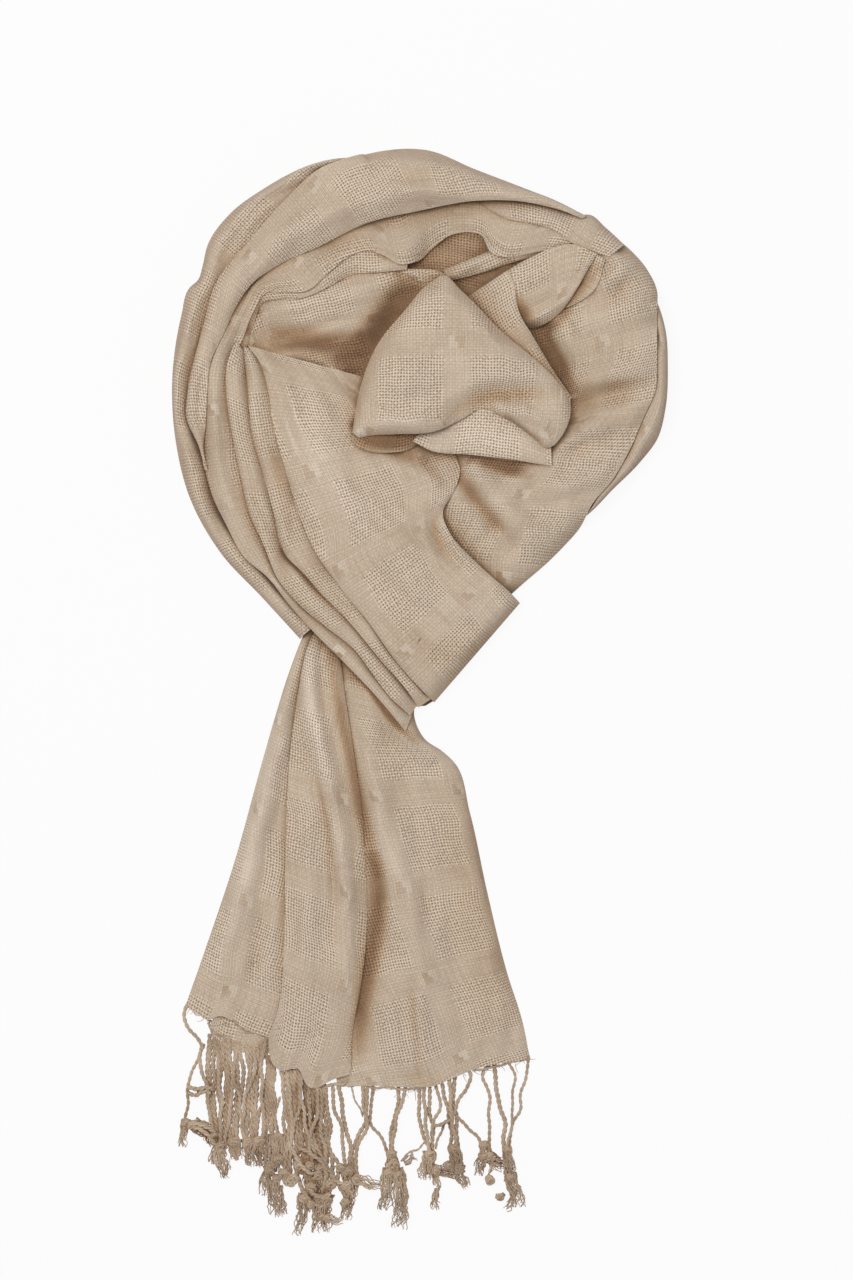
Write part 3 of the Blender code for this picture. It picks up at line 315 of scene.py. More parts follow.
LINES = {
    # the tail that hangs below, with its hidden upper end under the wrap
    "tail_left_side": [
        (-72, 58, 0.4, 5), (-82, 36, 0.4, 8), (-90, 15, 0.4, 9), (-101, -20, 0.4, 9), (-111, -55, 0.4, 9),
        (-129, -120, 0.4, 8), (-149, -180, 0.4, 6), (-163, -220, 0.4, 4),
    ],
    "tail_left_crease": [
        (-66, 56, 4, 5), (-78, 30, 6, 8), (-84, 0, 6.5, 9.5), (-89, -35, 6.5, 9.5), (-93, -110, 6.5, 9.5),
        (-94, -170, 6, 9), (-99, -225, 5, 8), (-105, -242, 3, 5),
    ],
    "tail_right_crease": [
        (-60, 50, 2, 5), (-54, 20, 2.5, 8), (-51, -4, 3, 9), (-47, -30, 4, 10), (-43.5, -55, 5, 11),
        (-40.5, -75, 5, 11.5), (-38.5, -96, 6, 12), (-37, -122, 6, 12), (-36, -150, 6, 12),
        (-37, -180, 6, 11), (-41, -210, 5, 10), (-46, -238, 3, 8), (-47, -268, 2, 5),
    ],
    "tail_under_left": [
        (-66, 50, 1, 3), (-70, 10, 1, 3), (-74, -60, 1, 3), (-70, -110, 1, 3), (-66, -170, 1, 3),
        (-57, -277, 1, 3),
    ],
    "tail_right_side": [
        (10, 12, 0.4, 7), (-3, -17, 0.4, 10), (4.8, -34, 0.4, 11), (16.5, -42, 0.4, 11),
        (25.5, -50.5, 0.4, 11), (36, -85, 0.4, 11), (48, -140, 0.4, 10), (62, -197, 0.4, 8),
        (73, -232, 0.4, 6), (78, -257, 0.4, 4),
    ],
    "tail_back_left": [(-118, -150, 0.2, 2.4), (-134, -200, 0.2, 2.4), (-146, -235, 0.2, 2.4)],
    "tail_back_right": [(-86, -150, 0.2, 2.4), (-96, -200, 0.2, 2.4), (-104, -254, 0.2, 2.4)],
    # the left side of the ring, from the outside in
    "left_outline": [
        (-28, 369, 1, 12), (-50, 373, 1, 20), (-78, 367, 1, 25), (-110, 350.5, 1, 26), (-131.5, 334.5, 1, 27),
        (-147.5, 312.5, 1, 27), (-151.5, 296, 1, 27), (-154, 288, 1, 26), (-160.5, 282, 1, 26),
        (-166, 263, 1, 26), (-172.5, 214, 1, 26), (-170, 175, 1, 26), (-160, 135, 1, 25), (-138, 96, 1, 22),
        (-110, 66, 1, 18), (-83, 36.5, 1, 13),
    ],
    "left_crease": [(-26, 362, 6, 10), (-50, 366, 11, 19)] + CREASE_LEFT + [
        (-118, 95, 13, 17), (-98, 70, 12, 15), (-72, 46, 10, 13),
    ],
    "band_outline": [
        (117, 331, 5, 9), (101.5, 340.5, 1, 19), (73.5, 352, 1, 25), (40, 365, 1, 27), (5, 378.7, 1, 28),
        (-25, 378, 1, 29), (-46, 372.5, 8, 29),
    ] + CREASE_LEFT[:8] + [(-149, 154, 11, 17)],
    "band_inner": [
        (114, 329, 6, 12), (95, 336, 13, 23), (75, 340, 17, 28), (40, 341, 19, 31), (0, 334, 20, 32),
        (-40, 324, 20, 32), (-70, 309, 20, 32), (-100, 295, 20, 31), (-115, 284, 20, 31), (-126, 269, 19, 30),
    ] + CREASE_SWAG + [(-149.5, 168, 13, 21), (-146.5, 154, 11, 16)],
    "swag_outer": [
        (116, 325, 19.5, 21), (96, 335, 15, 19), (66, 341, 10, 15), (40, 345, 11, 15), (0, 343, 12, 16),
        (-40, 334, 15, 19), (-80, 317, 17, 21), (-112, 299, 18, 22), (-128, 269, 18, 22),
    ] + CREASE_SWAG + [(-149.5, 165, 12, 25)] + CREASE_LEFT[8:] + [
        (-121, 93, 13, 20), (-105, 79, 13, 19), (-90, 60, 12, 18), (-70, 38, 12, 17), (-50, 18, 12, 17),
        (-30, -3, 11, 16.5), (-9, -28, 8, 13),
    ],
    "swag_inner": [
        (106, 312, 21.5, 22), (98, 311.5, 21.5, 22.5), (90, 311, 21.5, 22.5), (78, 309, 21, 23),
        (68, 307.5, 19, 22.5), (59, 307, 17, 21), (52, 310, 12, 21), (44, 323, 12, 21), (22, 323, 12, 21),
        (9, 314, 12, 23), (-1, 305, 12, 24), (-14, 302, 12, 24), (-26, 308, 12, 23), (-38, 311.5, 12, 23),
        (-53, 306, 12, 23), (-67, 294, 12, 24), (-80, 283, 12, 24), (-98, 281, 12, 24), (-110, 280, 13, 24),
        (-119, 267, 13, 25), (-126, 250, 13, 25),
    ] + CREASE_THIRD + [(-5, -18, 8, 13)],
    "fourth_start": [(-127, 244, 12, 20)] + CREASE_THIRD + [(-6, -17, 8, 13)],
    "fourth_inner": [(-121, 236, 12, 18)] + CREASE_FOURTH + [(-1, -10, 8, 13)],
    "fifth_outer": [(-122, 240, 12, 17)] + CREASE_FOURTH + [(0, -11.5, 8, 13)],
    "fifth_inner": [(-115, 238, 12, 16)] + CREASE_FIFTH + [(2, 1, 11, 18), (8, -6, 9, 15)],
    # the inside of the ring, upper half
    "swag_back_outer": [
        (-6, 309, 7, 10), (-18, 312, 7, 10), (-34, 313, 8, 11), (-60, 300, 9, 12), (-88, 289, 9, 12),
        (-113, 285, 9, 12), (-124, 262, 9, 13), (-131, 238, 9, 13),
    ],
    "swag_back_inner": [
        (-8, 294, 8, 12), (-15, 293, 9, 14), (-24, 292, 9, 16), (-48, 290, 10, 17), (-64, 281, 10, 18),
        (-80, 274, 10, 18), (-97, 273, 10, 18), (-108, 271, 10, 18), (-115, 256, 10, 18), (-121, 234, 10, 16),
    ],
    "back_panel_top": [
        (24, 289, 10, 13), (12, 293.5, 13, 18), (-6, 294.5, 13, 18), (-24, 296, 9, 14), (-60, 294, 8, 11),
        (-90, 284, 8, 11), (-113, 276, 8, 11), (-124, 256, 8, 11), (-130, 236, 8, 11),
    ],
    "back_panel_bottom": [
        (22, 262, 8, 13), (-4, 235, 8, 13), (-20, 212, 8, 13), (-48, 205, 7, 11), (-78, 210, 6, 9),
        (-104, 216, 7, 10), (-118, 222, 8, 11), (-129, 228, 8, 11),
    ],
    "inner_wall_top": [(-26, 316, 6, 9), (10, 334, 7, 10), (52, 330, 8, 11), (78, 314, 9, 12)],
    "inner_wall_bottom": [(-12, 282, 6, 9), (16, 266, 7, 10), (44, 256, 8, 11), (66, 262, 9, 12)],
    "strip_top": [
        (17, 294, 10, 13), (38, 302, 12, 17), (52, 308, 14, 20), (66, 313, 18, 21), (78, 316, 19.5, 21.5),
        (92, 318, 20.5, 22), (100, 318.5, 21, 22),
    ],
    "strip_bottom": [
        (21, 286, 10, 13), (36, 289.5, 12, 17), (50, 293.5, 15, 19), (60, 297, 17, 20), (70, 300, 19, 21),
        (80, 302.5, 20, 21.5), (90, 306, 20.5, 22), (100, 308.5, 21, 22),
    ],
    "top_right_outer": [
        (42, 343, 12, 14), (60, 344, 12, 17), (80, 343, 12, 17), (100, 337, 11, 18), (112, 333, 5, 20),
        (120, 333.3, 1, 20), (131, 324, 1, 20), (138.5, 317, 1, 19), (144, 311.5, 1, 18),
    ],
    "top_right_inner": [
        (50, 335, 14, 17), (61, 329, 17, 22), (76, 326, 19, 25), (92, 321.5, 21, 26), (100, 316.5, 23, 26),
        (107, 311.5, 24, 26), (115, 308, 24.5, 26), (124, 304.5, 25, 26.5), (133, 302, 25.5, 26.5),
    ],
    # the right side of the ring
    "right_outer": [
        (110, 331, 6, 12), (123, 329, 1, 20), (136, 319, 1, 25), (150, 307, 1, 28), (160, 295, 1, 29),
        (167, 278, 1, 28), (166, 266, 9, 28),
    ] + CREASE_RIM + [
        (112.8, 114, 1, 20), (102, 101.5, 1, 19), (91, 90.5, 1, 18), (72, 74, 1, 16), (60, 63, 1, 14),
    ],
    "right_inner": [
        (60, 326, 8, 11), (66, 306, 9, 12), (66, 285, 9, 12), (64, 262, 8, 12), (66, 240, 8, 12),
        (74, 215, 8, 12), (66, 194, 8, 13), (44, 180, 8, 14), (14, 172, 8, 14), (2, 150, 7, 12),
        (4, 125, 7, 11), (18, 100, 7, 11), (38, 80, 7, 11), (48, 66, 7, 11),
    ],
    "rim_inner": [
        (157, 280, 6, 16), (163, 264, 14, 22),
        *((x + 0.5, y - 0.4, foot - 1, crest - 5) for x, y, foot, crest in CREASE_RIM),
        (118, 124, 3, 9),
    ],
    "rim_outline": [
        (164, 279, 1, 17), (169, 267, 1, 21), (173, 252, 1, 22), (174.5, 228, 1, 23), (172.8, 197, 1, 23),
        (167.5, 177, 1, 22), (155, 160, 1, 20), (135, 140, 1, 17), (121, 125.5, 1, 13), (113, 119, 1, 8),
    ],
    "lobe_top": [
        (33, 275, 13, 16), (50, 285, 17, 19), (62, 293, 20, 22), (72, 299, 21, 23.5), (82, 304, 22, 24),
        (92, 308, 22.5, 24), (106, 311, 22.5, 24), (124, 304, 24.5, 25.5),
    ],
    "lobe_hem": [
        (42, 266, 12, 17), (54, 258, 12, 19), (66, 256, 12, 19), (76, 253, 13, 19), (90, 257, 14, 22),
        (98, 263, 14, 23), (106, 273, 15, 24), (111, 281, 18, 25),
    ],
    "lobe_lining_left": [(93, 268, 17, 18), (104, 283, 22, 23), (113, 295, 25, 25.5), (122, 305, 26, 26.5)],
    "lobe_lining_right": [
        (104, 267, 17, 18), (113, 271.5, 21, 22), (121.5, 278, 24.5, 25), (130, 300, 26, 26.5),
    ],
    "flank_inner": [
        (34, 275, 15, 17), (42, 264, 18, 22), (60, 245, 20, 27), (80, 228, 20, 30), (94, 214, 20, 28),
        (103, 202, 18, 25),
    ],
    "flank_outer": [
        (62, 293, 20, 20.6), (66, 285, 21.6, 22.4), (68, 273, 22.5, 24.5), (70, 264, 16, 27),
        (79, 248, 15, 28), (92, 226, 15, 27), (107, 204, 15, 25),
    ],
    # the wrap over the tail
    "front_right": [
        (-38, 219, 10, 13), (-28, 200, 12, 14), (-6, 184, 12, 14), (22, 170, 13.5, 14.5),
        (29, 154, 13.5, 14.5), (25, 140, 15, 17), (17, 124, 13, 24), (22, 110, 13, 25), (36, 94, 13, 25),
        (52, 79, 12, 24), (61, 71.5, 11, 23), (71, 61.5, 9, 21),
    ],
    "front_left": [(-119, 241, 11, 14)] + CREASE_FIFTH + [(3, 0, 11, 20), (11, -8, 9, 18)],
    # the heaped end in the middle
    "peak_top": [
        (-46, 180, 23, 30), (-42, 205, 23, 32), (-28, 242, 23, 34), (-10, 264, 24, 36), (8, 284, 24, 37),
        (17, 289, 24, 40), (30, 278, 27, 41), (60, 248, 28, 42), (80, 231, 27, 41), (95, 217, 26, 39),
        (109, 200, 24, 34),
    ],
    "peak_bottom": [
        (-41.5, 176.2, 23, 30), (-30, 178, 25, 33), (-15, 178.5, 26, 36), (12, 180.5, 26, 37),
        (30, 189, 26, 37), (45, 196.5, 26, 36), (60, 190, 26, 36), (78, 177, 24, 34), (91, 165.5, 22, 32),
    ],
    "curl_top": [(-45, 179, 22, 25), (-22, 182, 22, 25), (4, 184, 22, 25)],
    "curl_bottom": [
        (-46.6, 175.5, 15, 18), (-44.5, 171, 14, 18.5), (-38, 167.8, 14, 19), (-20, 166, 14, 20),
        (-5, 169, 16, 22), (2, 175, 18, 23),
    ],
    "flap_top": [
        (-1, 178, 21, 25), (30, 191, 22, 27), (47, 199, 23, 28), (65, 192, 23, 28), (92, 173, 20, 26),
    ],
    "flap_hem": [
        (-4, 174, 18, 26), (8, 167.5, 18, 28), (35, 164.5, 18, 28), (65, 161, 18, 28), (93, 156.5, 16, 26),
    ],
}
print(len(LINES), "creases and edges")

# %% Folds
# Each row is a fold that runs inside a stretch: height (negative for a trough), width to its left and to its
# right as it runs, then the points that it runs through.
FOLDS = {
    "right_band": [
        (6, 13, 14, (34, 160), (50, 140), (70, 117), (92, 97)),
        (-6, 9, 9, (12, 172), (24, 156), (37, 138), (50, 119), (66, 98)),
        (-8, 16, 13, (78, 282), (84, 254), (97, 226), (110, 204), (114, 186)),
        (7, 12, 15, (166, 226), (136, 222), (112, 214), (98, 216)),
        (-7, 9, 12, (164, 208), (132, 204), (108, 200)),
        (4, 8, 9, (160, 190), (132, 188), (110, 180)),
        (-4, 8, 8, (156, 176), (124, 172), (96, 162)),
        (5, 14, 12, (164, 266), (134, 262), (108, 252)),
        (-4, 8, 10, (160, 284), (134, 276), (118, 262)),
        (4, 9, 9, (152, 304), (138, 290), (130, 276)),
        (-3.5, 9, 8, (96, 262), (109, 278), (117, 291), (124, 306)),
        (2.5, 4, 12, (104, 257), (118, 265), (127, 275), (134, 290), (139, 306)),
        (4, 8, 9, (132, 150), (104, 142), (80, 134)),
        (-5, 9, 9, (96, 172), (70, 158), (44, 152)),
        (3, 6, 7, (120, 246), (128, 240), (134, 230)),
    ],
    "tail_right_panel": [
        (7, 15, 24, (-42, 10), (-36, -35), (-28, -80), (-17, -120), (-8, -150), (0, -185), (4, -225),
         (5, -268)),
        (-4.5, 9, 9, (-51, 2), (-47, -26), (-43, -50), (-39, -72), (-35, -96), (-30, -122), (-26, -150)),
        (-4, 16, 12, (-32, -112), (-28, -145), (-30, -172), (-35, -200), (-40, -232), (-44, -266)),
        (4, 10, 10, (-26, -208), (-20, -235), (-16, -262)),
        (-3, 5, 5, (-6, -198), (-2, -236), (0, -272)),
        (-4, 12, 14, (8, -62), (20, -120), (30, -190), (36, -250)),
        (3, 9, 9, (28, -64), (38, -120), (50, -190), (60, -250)),
        (-3, 8, 9, (-22, -20), (-8, -66), (4, -112), (14, -160)),
        (4, 8, 12, (-34, 6), (-10, -26), (12, -50)),
    ],
    "tail_middle_panel": [
        (7, 10, 14, (-76, 42), (-76, -2), (-71, -26), (-65, -50), (-60, -72), (-55, -96), (-51, -124)),
        (4, 9, 10, (-78, -64), (-76, -120), (-75, -180), (-74, -240)),
        (-3, 4, 5, (-72, -56), (-67, -78), (-63, -98), (-60, -130), (-59, -180)),
        (4, 7, 8, (-53, -104), (-51, -128), (-49, -150), (-48, -182), (-51, -215)),
    ],
    "tail_left_panel": [
        (5, 11, 12, (-88, 20), (-98, -40), (-112, -100), (-130, -170), (-138, -210)),
        (-3, 7, 8, (-93, -40), (-103, -110), (-113, -170), (-118, -220)),
    ],
    "back_panel": [
        (7, 12, 16, (-112, 264), (-84, 270), (-50, 275), (-14, 292)),
        (-6, 12, 12, (-116, 246), (-84, 248), (-56, 244), (-36, 250)),
        (-9, 18, 10, (-52, 218), (-30, 240), (-14, 262), (0, 288)),
        (4, 8, 9, (-108, 232), (-80, 236), (-56, 232)),
    ],
    "inner_wall": [(-5, 9, 9, (-10, 300), (16, 312), (44, 318)), (3, 8, 8, (10, 292), (34, 300), (60, 300))],
    "front_panel": [
        (4, 22, 24, (-74, 200), (-54, 140), (-14, 90), (26, 40)),
        (-4, 10, 9, (-46, 190), (-22, 172), (2, 164)), (-3, 9, 9, (2, 176), (14, 160), (30, 143)),
        (3, 7, 8, (-26, 158), (-4, 152), (16, 143)),
        (-3, 8, 9, (-66, 172), (-50, 150), (-20, 138), (10, 128)),
        (-5, 8, 7, (14, 132), (10, 116), (16, 98), (30, 84)),
        (5, 7, 6, (24, 132), (20, 118), (26, 102), (42, 86), (58, 74)),
        (2.5, 8, 8, (-60, 130), (-34, 112), (0, 96), (30, 86)),
        (-2.5, 9, 9, (-44, 92), (-12, 66), (18, 46), (44, 42)),
        (2.5, 7, 8, (-96, 214), (-88, 180), (-76, 146)),
        (-2.5, 6, 7, (-88, 220), (-78, 190), (-68, 160)),
        (-2, 7, 9, (-10, 48), (14, 24), (36, 20)),
    ],
    "peak": [
        (4, 20, 26, (-26, 196), (-4, 236), (10, 282)),
        (-7, 12, 13, (16, 186), (44, 204), (74, 207), (100, 206)),
        (4, 9, 10, (-46, 186), (-20, 187), (8, 187)),
        (-2, 9, 9, (-34, 206), (-12, 203), (16, 208), (40, 222)),
        (3, 10, 10, (26, 266), (50, 243), (74, 224)),
        (4, 8, 8, (50, 197), (70, 194), (92, 184)),
        (-4, 4, 5, (58, 192), (70, 183), (86, 172)),
    ],
    "top_band": [
        (-3, 9, 10, (-62, 354), (-24, 360), (26, 352), (70, 345)),
        (3, 9, 10, (-112, 306), (-60, 332), (6, 348), (60, 347)),
        (-2.5, 6, 7, (-104, 318), (-70, 340), (-44, 350)),
        (2.5, 7, 8, (-40, 368), (0, 370), (40, 360)),
        (-3, 6, 7, (-146, 230), (-152, 200), (-150, 170)),
    ],
    "outer_fold": [
        (3, 8, 8, (-160, 262), (-166, 220), (-163, 180), (-152, 140)),
        (-3, 6, 7, (-156, 240), (-165, 200), (-158, 160)),
        (3, 7, 8, (-56, 370), (-90, 356), (-124, 330), (-146, 300)),
        (-3, 6, 6, (-80, 356), (-110, 338), (-136, 306)),
    ],
    "lobe": [
        (-2, 7, 8, (66, 262), (82, 268), (98, 276)), (2, 10, 10, (64, 280), (84, 290), (102, 296)),
        (2, 8, 8, (76, 258), (92, 266), (104, 284)), (1.5, 3, 3, (111, 284), (115, 293), (121, 304)),
        (-1.5, 3, 3, (108, 284), (112, 293), (118, 304)),
    ],
    "swag": [
        (-3, 6, 7, (40, 334), (0, 326), (-34, 322)),
        (2.5, 6, 6, (-140, 220), (-142, 180), (-132, 130)),
    ],
}
print(sum(map(len, FOLDS.values())), "folds inside the stretches")

# %% Shades
# Each row is a shade painted on a stretch, with widths and points like a fold's: positive for painted shade,
# which makes the cloth browner, negative for a painted highlight, which makes it paler.
VALLEY_SHADE = [  # painted shade that runs over both sides of an edge
    (0.65, 8, 7, (-63, 38), (-58, 4), (-54, -18), (-49, -40), (-45, -60), (-41, -82), (-35, -108),
     (-28, -134)),
    (0.75, 12, 10, (-33, -110), (-28, -142), (-31, -170), (-36, -198), (-41, -228), (-45, -264)),
]
PAINTED_SHADES = {
    "tail_middle_panel": [
        *VALLEY_SHADE, (-0.7, 8, 9, (-77, 32), (-76, -4), (-71, -26), (-65, -50), (-60, -72)),
        (-0.45, 5, 6, (-60, -74), (-55, -104), (-50, -140), (-48, -178)),
        (0.3, 3, 3, (-72, -57), (-67, -78), (-63, -98), (-60, -122)),
    ],
    "tail_right_panel": [
        *VALLEY_SHADE, (0.8, 6, 4, (-50, 24), (-34, 2), (-17, -22), (2, -38)),
        (-0.35, 9, 9, (-44, -12), (-34, -60), (-22, -100), (-12, -134), (-4, -166), (0, -200)),
        (0.25, 26, 30, (24, -50), (42, -140), (62, -250)), (0.25, 4, 4, (-8, -200), (-2, -238), (0, -274)),
        (0.3, 14, 5, (-8, -270), (10, -276), (26, -270)),
    ],
    "tail_left_panel": [
        (-0.6, 18, 18, (-92, 0), (-110, -90), (-136, -200)),
        (0.35, 5, 5, (-86, 0), (-91, -50), (-94, -120), (-96, -190), (-103, -236)),
    ],
    "back_panel": [
        (0.9, 28, 8, (-52, 216), (-30, 238), (-14, 260), (0, 288)),
        (0.7, 16, 17, (-106, 245), (-82, 243), (-56, 240), (-26, 240)),
        (-0.4, 10, 12, (-104, 272), (-64, 280), (-30, 284)),
    ],
    "right_band": [
        (0.3, 6, 6, (166, 217), (132, 214), (104, 212)), (0.25, 4, 4, (162, 191), (132, 189), (104, 184)),
        (0.4, 6, 6, (18, 162), (34, 142), (48, 124), (62, 110)), (0.7, 8, 7, (34, 164), (56, 157), (80, 148)),
        (0.6, 9, 8, (80, 260), (94, 236), (108, 206)), (0.5, 5, 6, (74, 250), (92, 254), (108, 268)),
    ],
    "front_panel": [
        (0.4, 8, 9, (-48, 190), (-22, 170), (8, 158)), (0.35, 5, 6, (0, 164), (12, 150), (22, 140)),
        (0.2, 18, 24, (-24, 44), (12, 28), (52, 44)), (-0.5, 24, 30, (-92, 214), (-66, 156), (-32, 108)),
        (0.35, 5, 5, (14, 128), (11, 114), (18, 98)),
    ],
    "peak": [
        (0.35, 7, 7, (16, 190), (46, 203), (76, 206), (100, 205)),
        (0.45, 4, 4, (58, 192), (70, 183), (88, 171)),
        (-0.5, 8, 7, (-44, 184), (-16, 186), (8, 187)),
    ],
    "peak_curl": [(0.9, 11, 11, (-50, 172), (-24, 174), (2, 175))],
    "hem_flap": [(-0.7, 24, 24, (-20, 176), (40, 180), (110, 166))],
    "inner_wall": [
        (0.4, 24, 24, (-30, 300), (20, 304), (80, 310)), (0.5, 6, 6, (6, 316), (18, 320), (32, 324)),
    ],
    "swag_back": [(0.6, 6, 6, (-127, 268), (-122, 257), (-118, 246))],
    "lobe": [(0.55, 8, 8, (66, 278), (75, 262), (82, 250))],
    "lobe_lining": [(0.55, 10, 10, (98, 266), (112, 280), (124, 302))],
    "top_band": [(-0.5, 6, 7, (-118, 288), (-70, 313), (-40, 328), (20, 338), (55, 345), (90, 341))],
    "fifth_fold": [
        (0.4, 6, 6, (-102, 172), (-97, 150), (-88, 126)),
        (0.2, 9, 9, (-112, 220), (-104, 150), (-70, 80), (-10, 4)),
    ],
    "fourth_fold": [
        (0.7, 6, 6, (-96, 102), (-86, 90), (-70, 70), (-58, 58)),
        (0.2, 9, 9, (-126, 230), (-118, 150), (-84, 66), (-14, -4)),
    ],
    "swag": [(0.15, 12, 12, (-138, 240), (-136, 160), (-90, 66), (-20, -10))],
    "outer_fold": [(0.15, 18, 18, (-120, 340), (-166, 230), (-150, 130), (-96, 60))],
}
print(sum(map(len, PAINTED_SHADES.values())), "shades")

# %% Hems and stretches
# A cut hem that isn't straight: rows of share across the stretch, and how far the hem lies beyond its
# straight line.
HEMS = {
    "peak": [(0, -5), (0.12, -1), (0.35, 2), (0.65, 2), (0.88, -0.5), (1, -4)],
    "tail_left_panel": [(0, 0.5), (0.2, 3), (0.3, 4), (0.4, -2), (0.5, -2.5), (0.62, -1), (0.8, 0), (1, 0)],
    "tail_back_layer": [(0, 1), (0.1, 8), (0.2, 10), (0.4, 9), (0.6, 7), (0.75, 2), (1, 0)],
    "tail_middle_panel": [
        (0, 0), (0.05, 11), (0.17, 18), (0.43, 13), (0.52, 20), (0.62, 20), (0.8, 9), (1, 0),
    ],
    "tail_right_panel": [(0, 0), (0.2, 3), (0.42, 8.5), (0.5, 9), (0.57, 6.5), (0.7, 2), (1, 0)],
}
HEM_REACH = 40        # the length over which a stretch stretches to its hem

# In the order in which they lie: name, its two lines, crown (height of the middle over the shoulders), the
# radii of the rolls at the first line, second line, start and end (0 for a plain edge), and the height of a
# rolled end's foot. Each stretch's number starts its random wrinkles: the tail's four count from 0, and the
# ring's go on from 7.
TAIL_STRETCHES, RING_NUMBER = 4, 7
COLUMNS = (
    "name", "first", "second", "crown", "roll_first", "roll_second", "roll_start", "roll_end", "end_foot",
)
STRETCHES = [dict(zip(COLUMNS, row)) for row in (
    ("tail_back_layer", "tail_back_left", "tail_back_right", 0, 0, 0, 0, 0, 0),
    ("tail_left_panel", "tail_left_side", "tail_left_crease", 1, 9, 8, 0, 0, 0),
    ("tail_right_panel", "tail_under_left", "tail_right_side", 2, 0, 11, 0, 0, 0),
    ("tail_middle_panel", "tail_left_crease", "tail_right_crease", 1, 11, 17, 0, 0, 0),
    ("outer_fold", "left_outline", "left_crease", 3, 17, 12, 0, 0, 0),
    ("right_rim", "rim_inner", "rim_outline", 2, 6, 11, 0, 0, 0),
    ("right_band", "right_outer", "right_inner", 4, 20, 0, 0, 0, 0),
    ("inner_wall", "inner_wall_top", "inner_wall_bottom", 1, 0, 0, 0, 0, 0),
    ("back_panel", "back_panel_top", "back_panel_bottom", 3, 5, 0, 0, 0, 0),
    ("swag_back", "swag_back_outer", "swag_back_inner", 2, 0, 9, 0, 0, 0),
    ("inner_strip", "strip_top", "strip_bottom", 1, 8, 7, 0, 0, 0),
    ("swag", "swag_outer", "swag_inner", 3, 11, 12, 0, 14, 8),
    ("top_right_fold", "top_right_outer", "top_right_inner", 2, 9, 9, 0, 0, 0),
    ("top_band", "band_outline", "band_inner", 5, 20, 13, 0, 0, 0),
    ("lobe_lining", "lobe_lining_left", "lobe_lining_right", 0, 0, 3, 0, 0, 0),
    ("lobe", "lobe_top", "lobe_hem", 3, 4, 7, 0, 5, 24.5),
    ("fourth_fold", "fourth_start", "fourth_inner", 2, 10, 11, 0, 14, 8),
    ("fifth_fold", "fifth_outer", "fifth_inner", 2, 10, 10, 0, 14, 8),
    ("front_panel", "front_left", "front_right", 4, 11, 8, 0, 10, 1),
    ("flank", "flank_inner", "flank_outer", 0.5, 0, 5, 2, 0, 15),
    ("peak_curl", "curl_top", "curl_bottom", 0, 0, 3, 0, 0, 0),
    ("hem_flap", "flap_top", "flap_hem", 1, 0, 3, 0, 0, 0),
    ("peak", "peak_top", "peak_bottom", 6, 15, 7, 0, 6, 26),
)]
print(len(STRETCHES), "stretches,", len(HEMS), "of them with an uneven hem")


# %% [markdown]
# ## Surfaces
# A stretch is a grid of points between its two lines. Its section rises from the foot at one line over a
# rounded shoulder, a quarter of a circle, to the shoulder and foot at the other. Soft folds and fine wrinkles
# are added to its height, and then it is laid on what is already there. All of it is arrays: one row for each
# step along the stretch and one column for each step across.

# %% Curves and rolls
SEAM = 0.04           # a stretch stops this far short of a line that it shares
SEAM_MOST = 0.2       # but never by more than this share of its width
FACET = 2.2           # size of a facet
ROUND = 7             # facets round a rolled edge, and their distances from it for a radius of 1
ROUNDING = 1 - np.cos(np.linspace(0, math.pi / 2, ROUND, endpoint=False))
ROUND_FOOT = 2        # an edge whose foot is near this height or lower is rounder
ROLLS_MOST = 0.9      # the share of a narrow row that its two rolls take up at most
USUAL = 80            # the usual width is wider than this percentage of the rows
ROUGH = 40            # points on which a stretch's length is measured
ROUND_FADE = 4        # height over which an edge's roundness fades from the floor up
FOLD_STEP = 3         # from point to point along a fold's path
FOLD_POINTS = 8       # and the fewest of them


def smooth(knots, rows, at):
    """Values of a smooth curve through the rows at the knots, made of cubic pieces."""
    rows = np.asarray(rows, float)
    gap = np.diff(knots)[:, None]
    slope = np.diff(rows, axis=0) / gap
    lean = np.empty_like(rows)
    lean[0], lean[-1] = slope[0], slope[-1]
    lean[1:-1] = (gap[1:] * slope[:-1] + gap[:-1] * slope[1:]) / (gap[1:] + gap[:-1])
    i = np.clip(np.searchsorted(knots, at, side="right") - 1, 0, len(knots) - 2)
    h = gap[i]
    t = (at - knots[i])[:, None] / h
    return (
        (2 * t**3 - 3 * t**2 + 1) * rows[i]
        + (t**3 - 2 * t**2 + t) * h * lean[i]
        + (3 * t**2 - 2 * t**3) * rows[i + 1]
        + (t**3 - t**2) * h * lean[i + 1]
    )


def lengths(points, axes=2):
    """Distance along the points from the first to each, seen from above or in all three axes."""
    return np.concatenate([[0], np.cumsum(np.linalg.norm(np.diff(points[:, :axes], axis=0), axis=1))])


def line_points(name, shares):
    """The line's rows at shares of its length, from 0 to 1."""
    rows = np.array(LINES[name], float)
    knots = lengths(rows)
    return smooth(knots, rows, shares * knots[-1])


def roll(distance, radius, foot):
    """1 on the shoulder and 0 at the edge: a quarter circle on the floor, a softer parabola in a crease."""
    near = np.clip(1 - distance / np.maximum(radius, 1e-6), 0, 1)
    soft = np.clip((foot - ROUND_FOOT) / ROUND_FADE, 0.5, 1)
    return np.where(radius > 0, soft * (1 - near**2) + (1 - soft) * np.sqrt(1 - near**2), 1.0)


def spread(length, roll_start, roll_end):
    """Distances along a side: close together round its rolls, and even in between."""
    head = roll_start * ROUNDING if roll_start else np.array([])
    tail = length - roll_end * ROUNDING[::-1] if roll_end else np.array([])
    facets = round((length - roll_start - roll_end) / FACET)
    middle = np.linspace(roll_start, length - roll_end, max(1, facets) + 1)
    return np.concatenate([head, middle, tail])


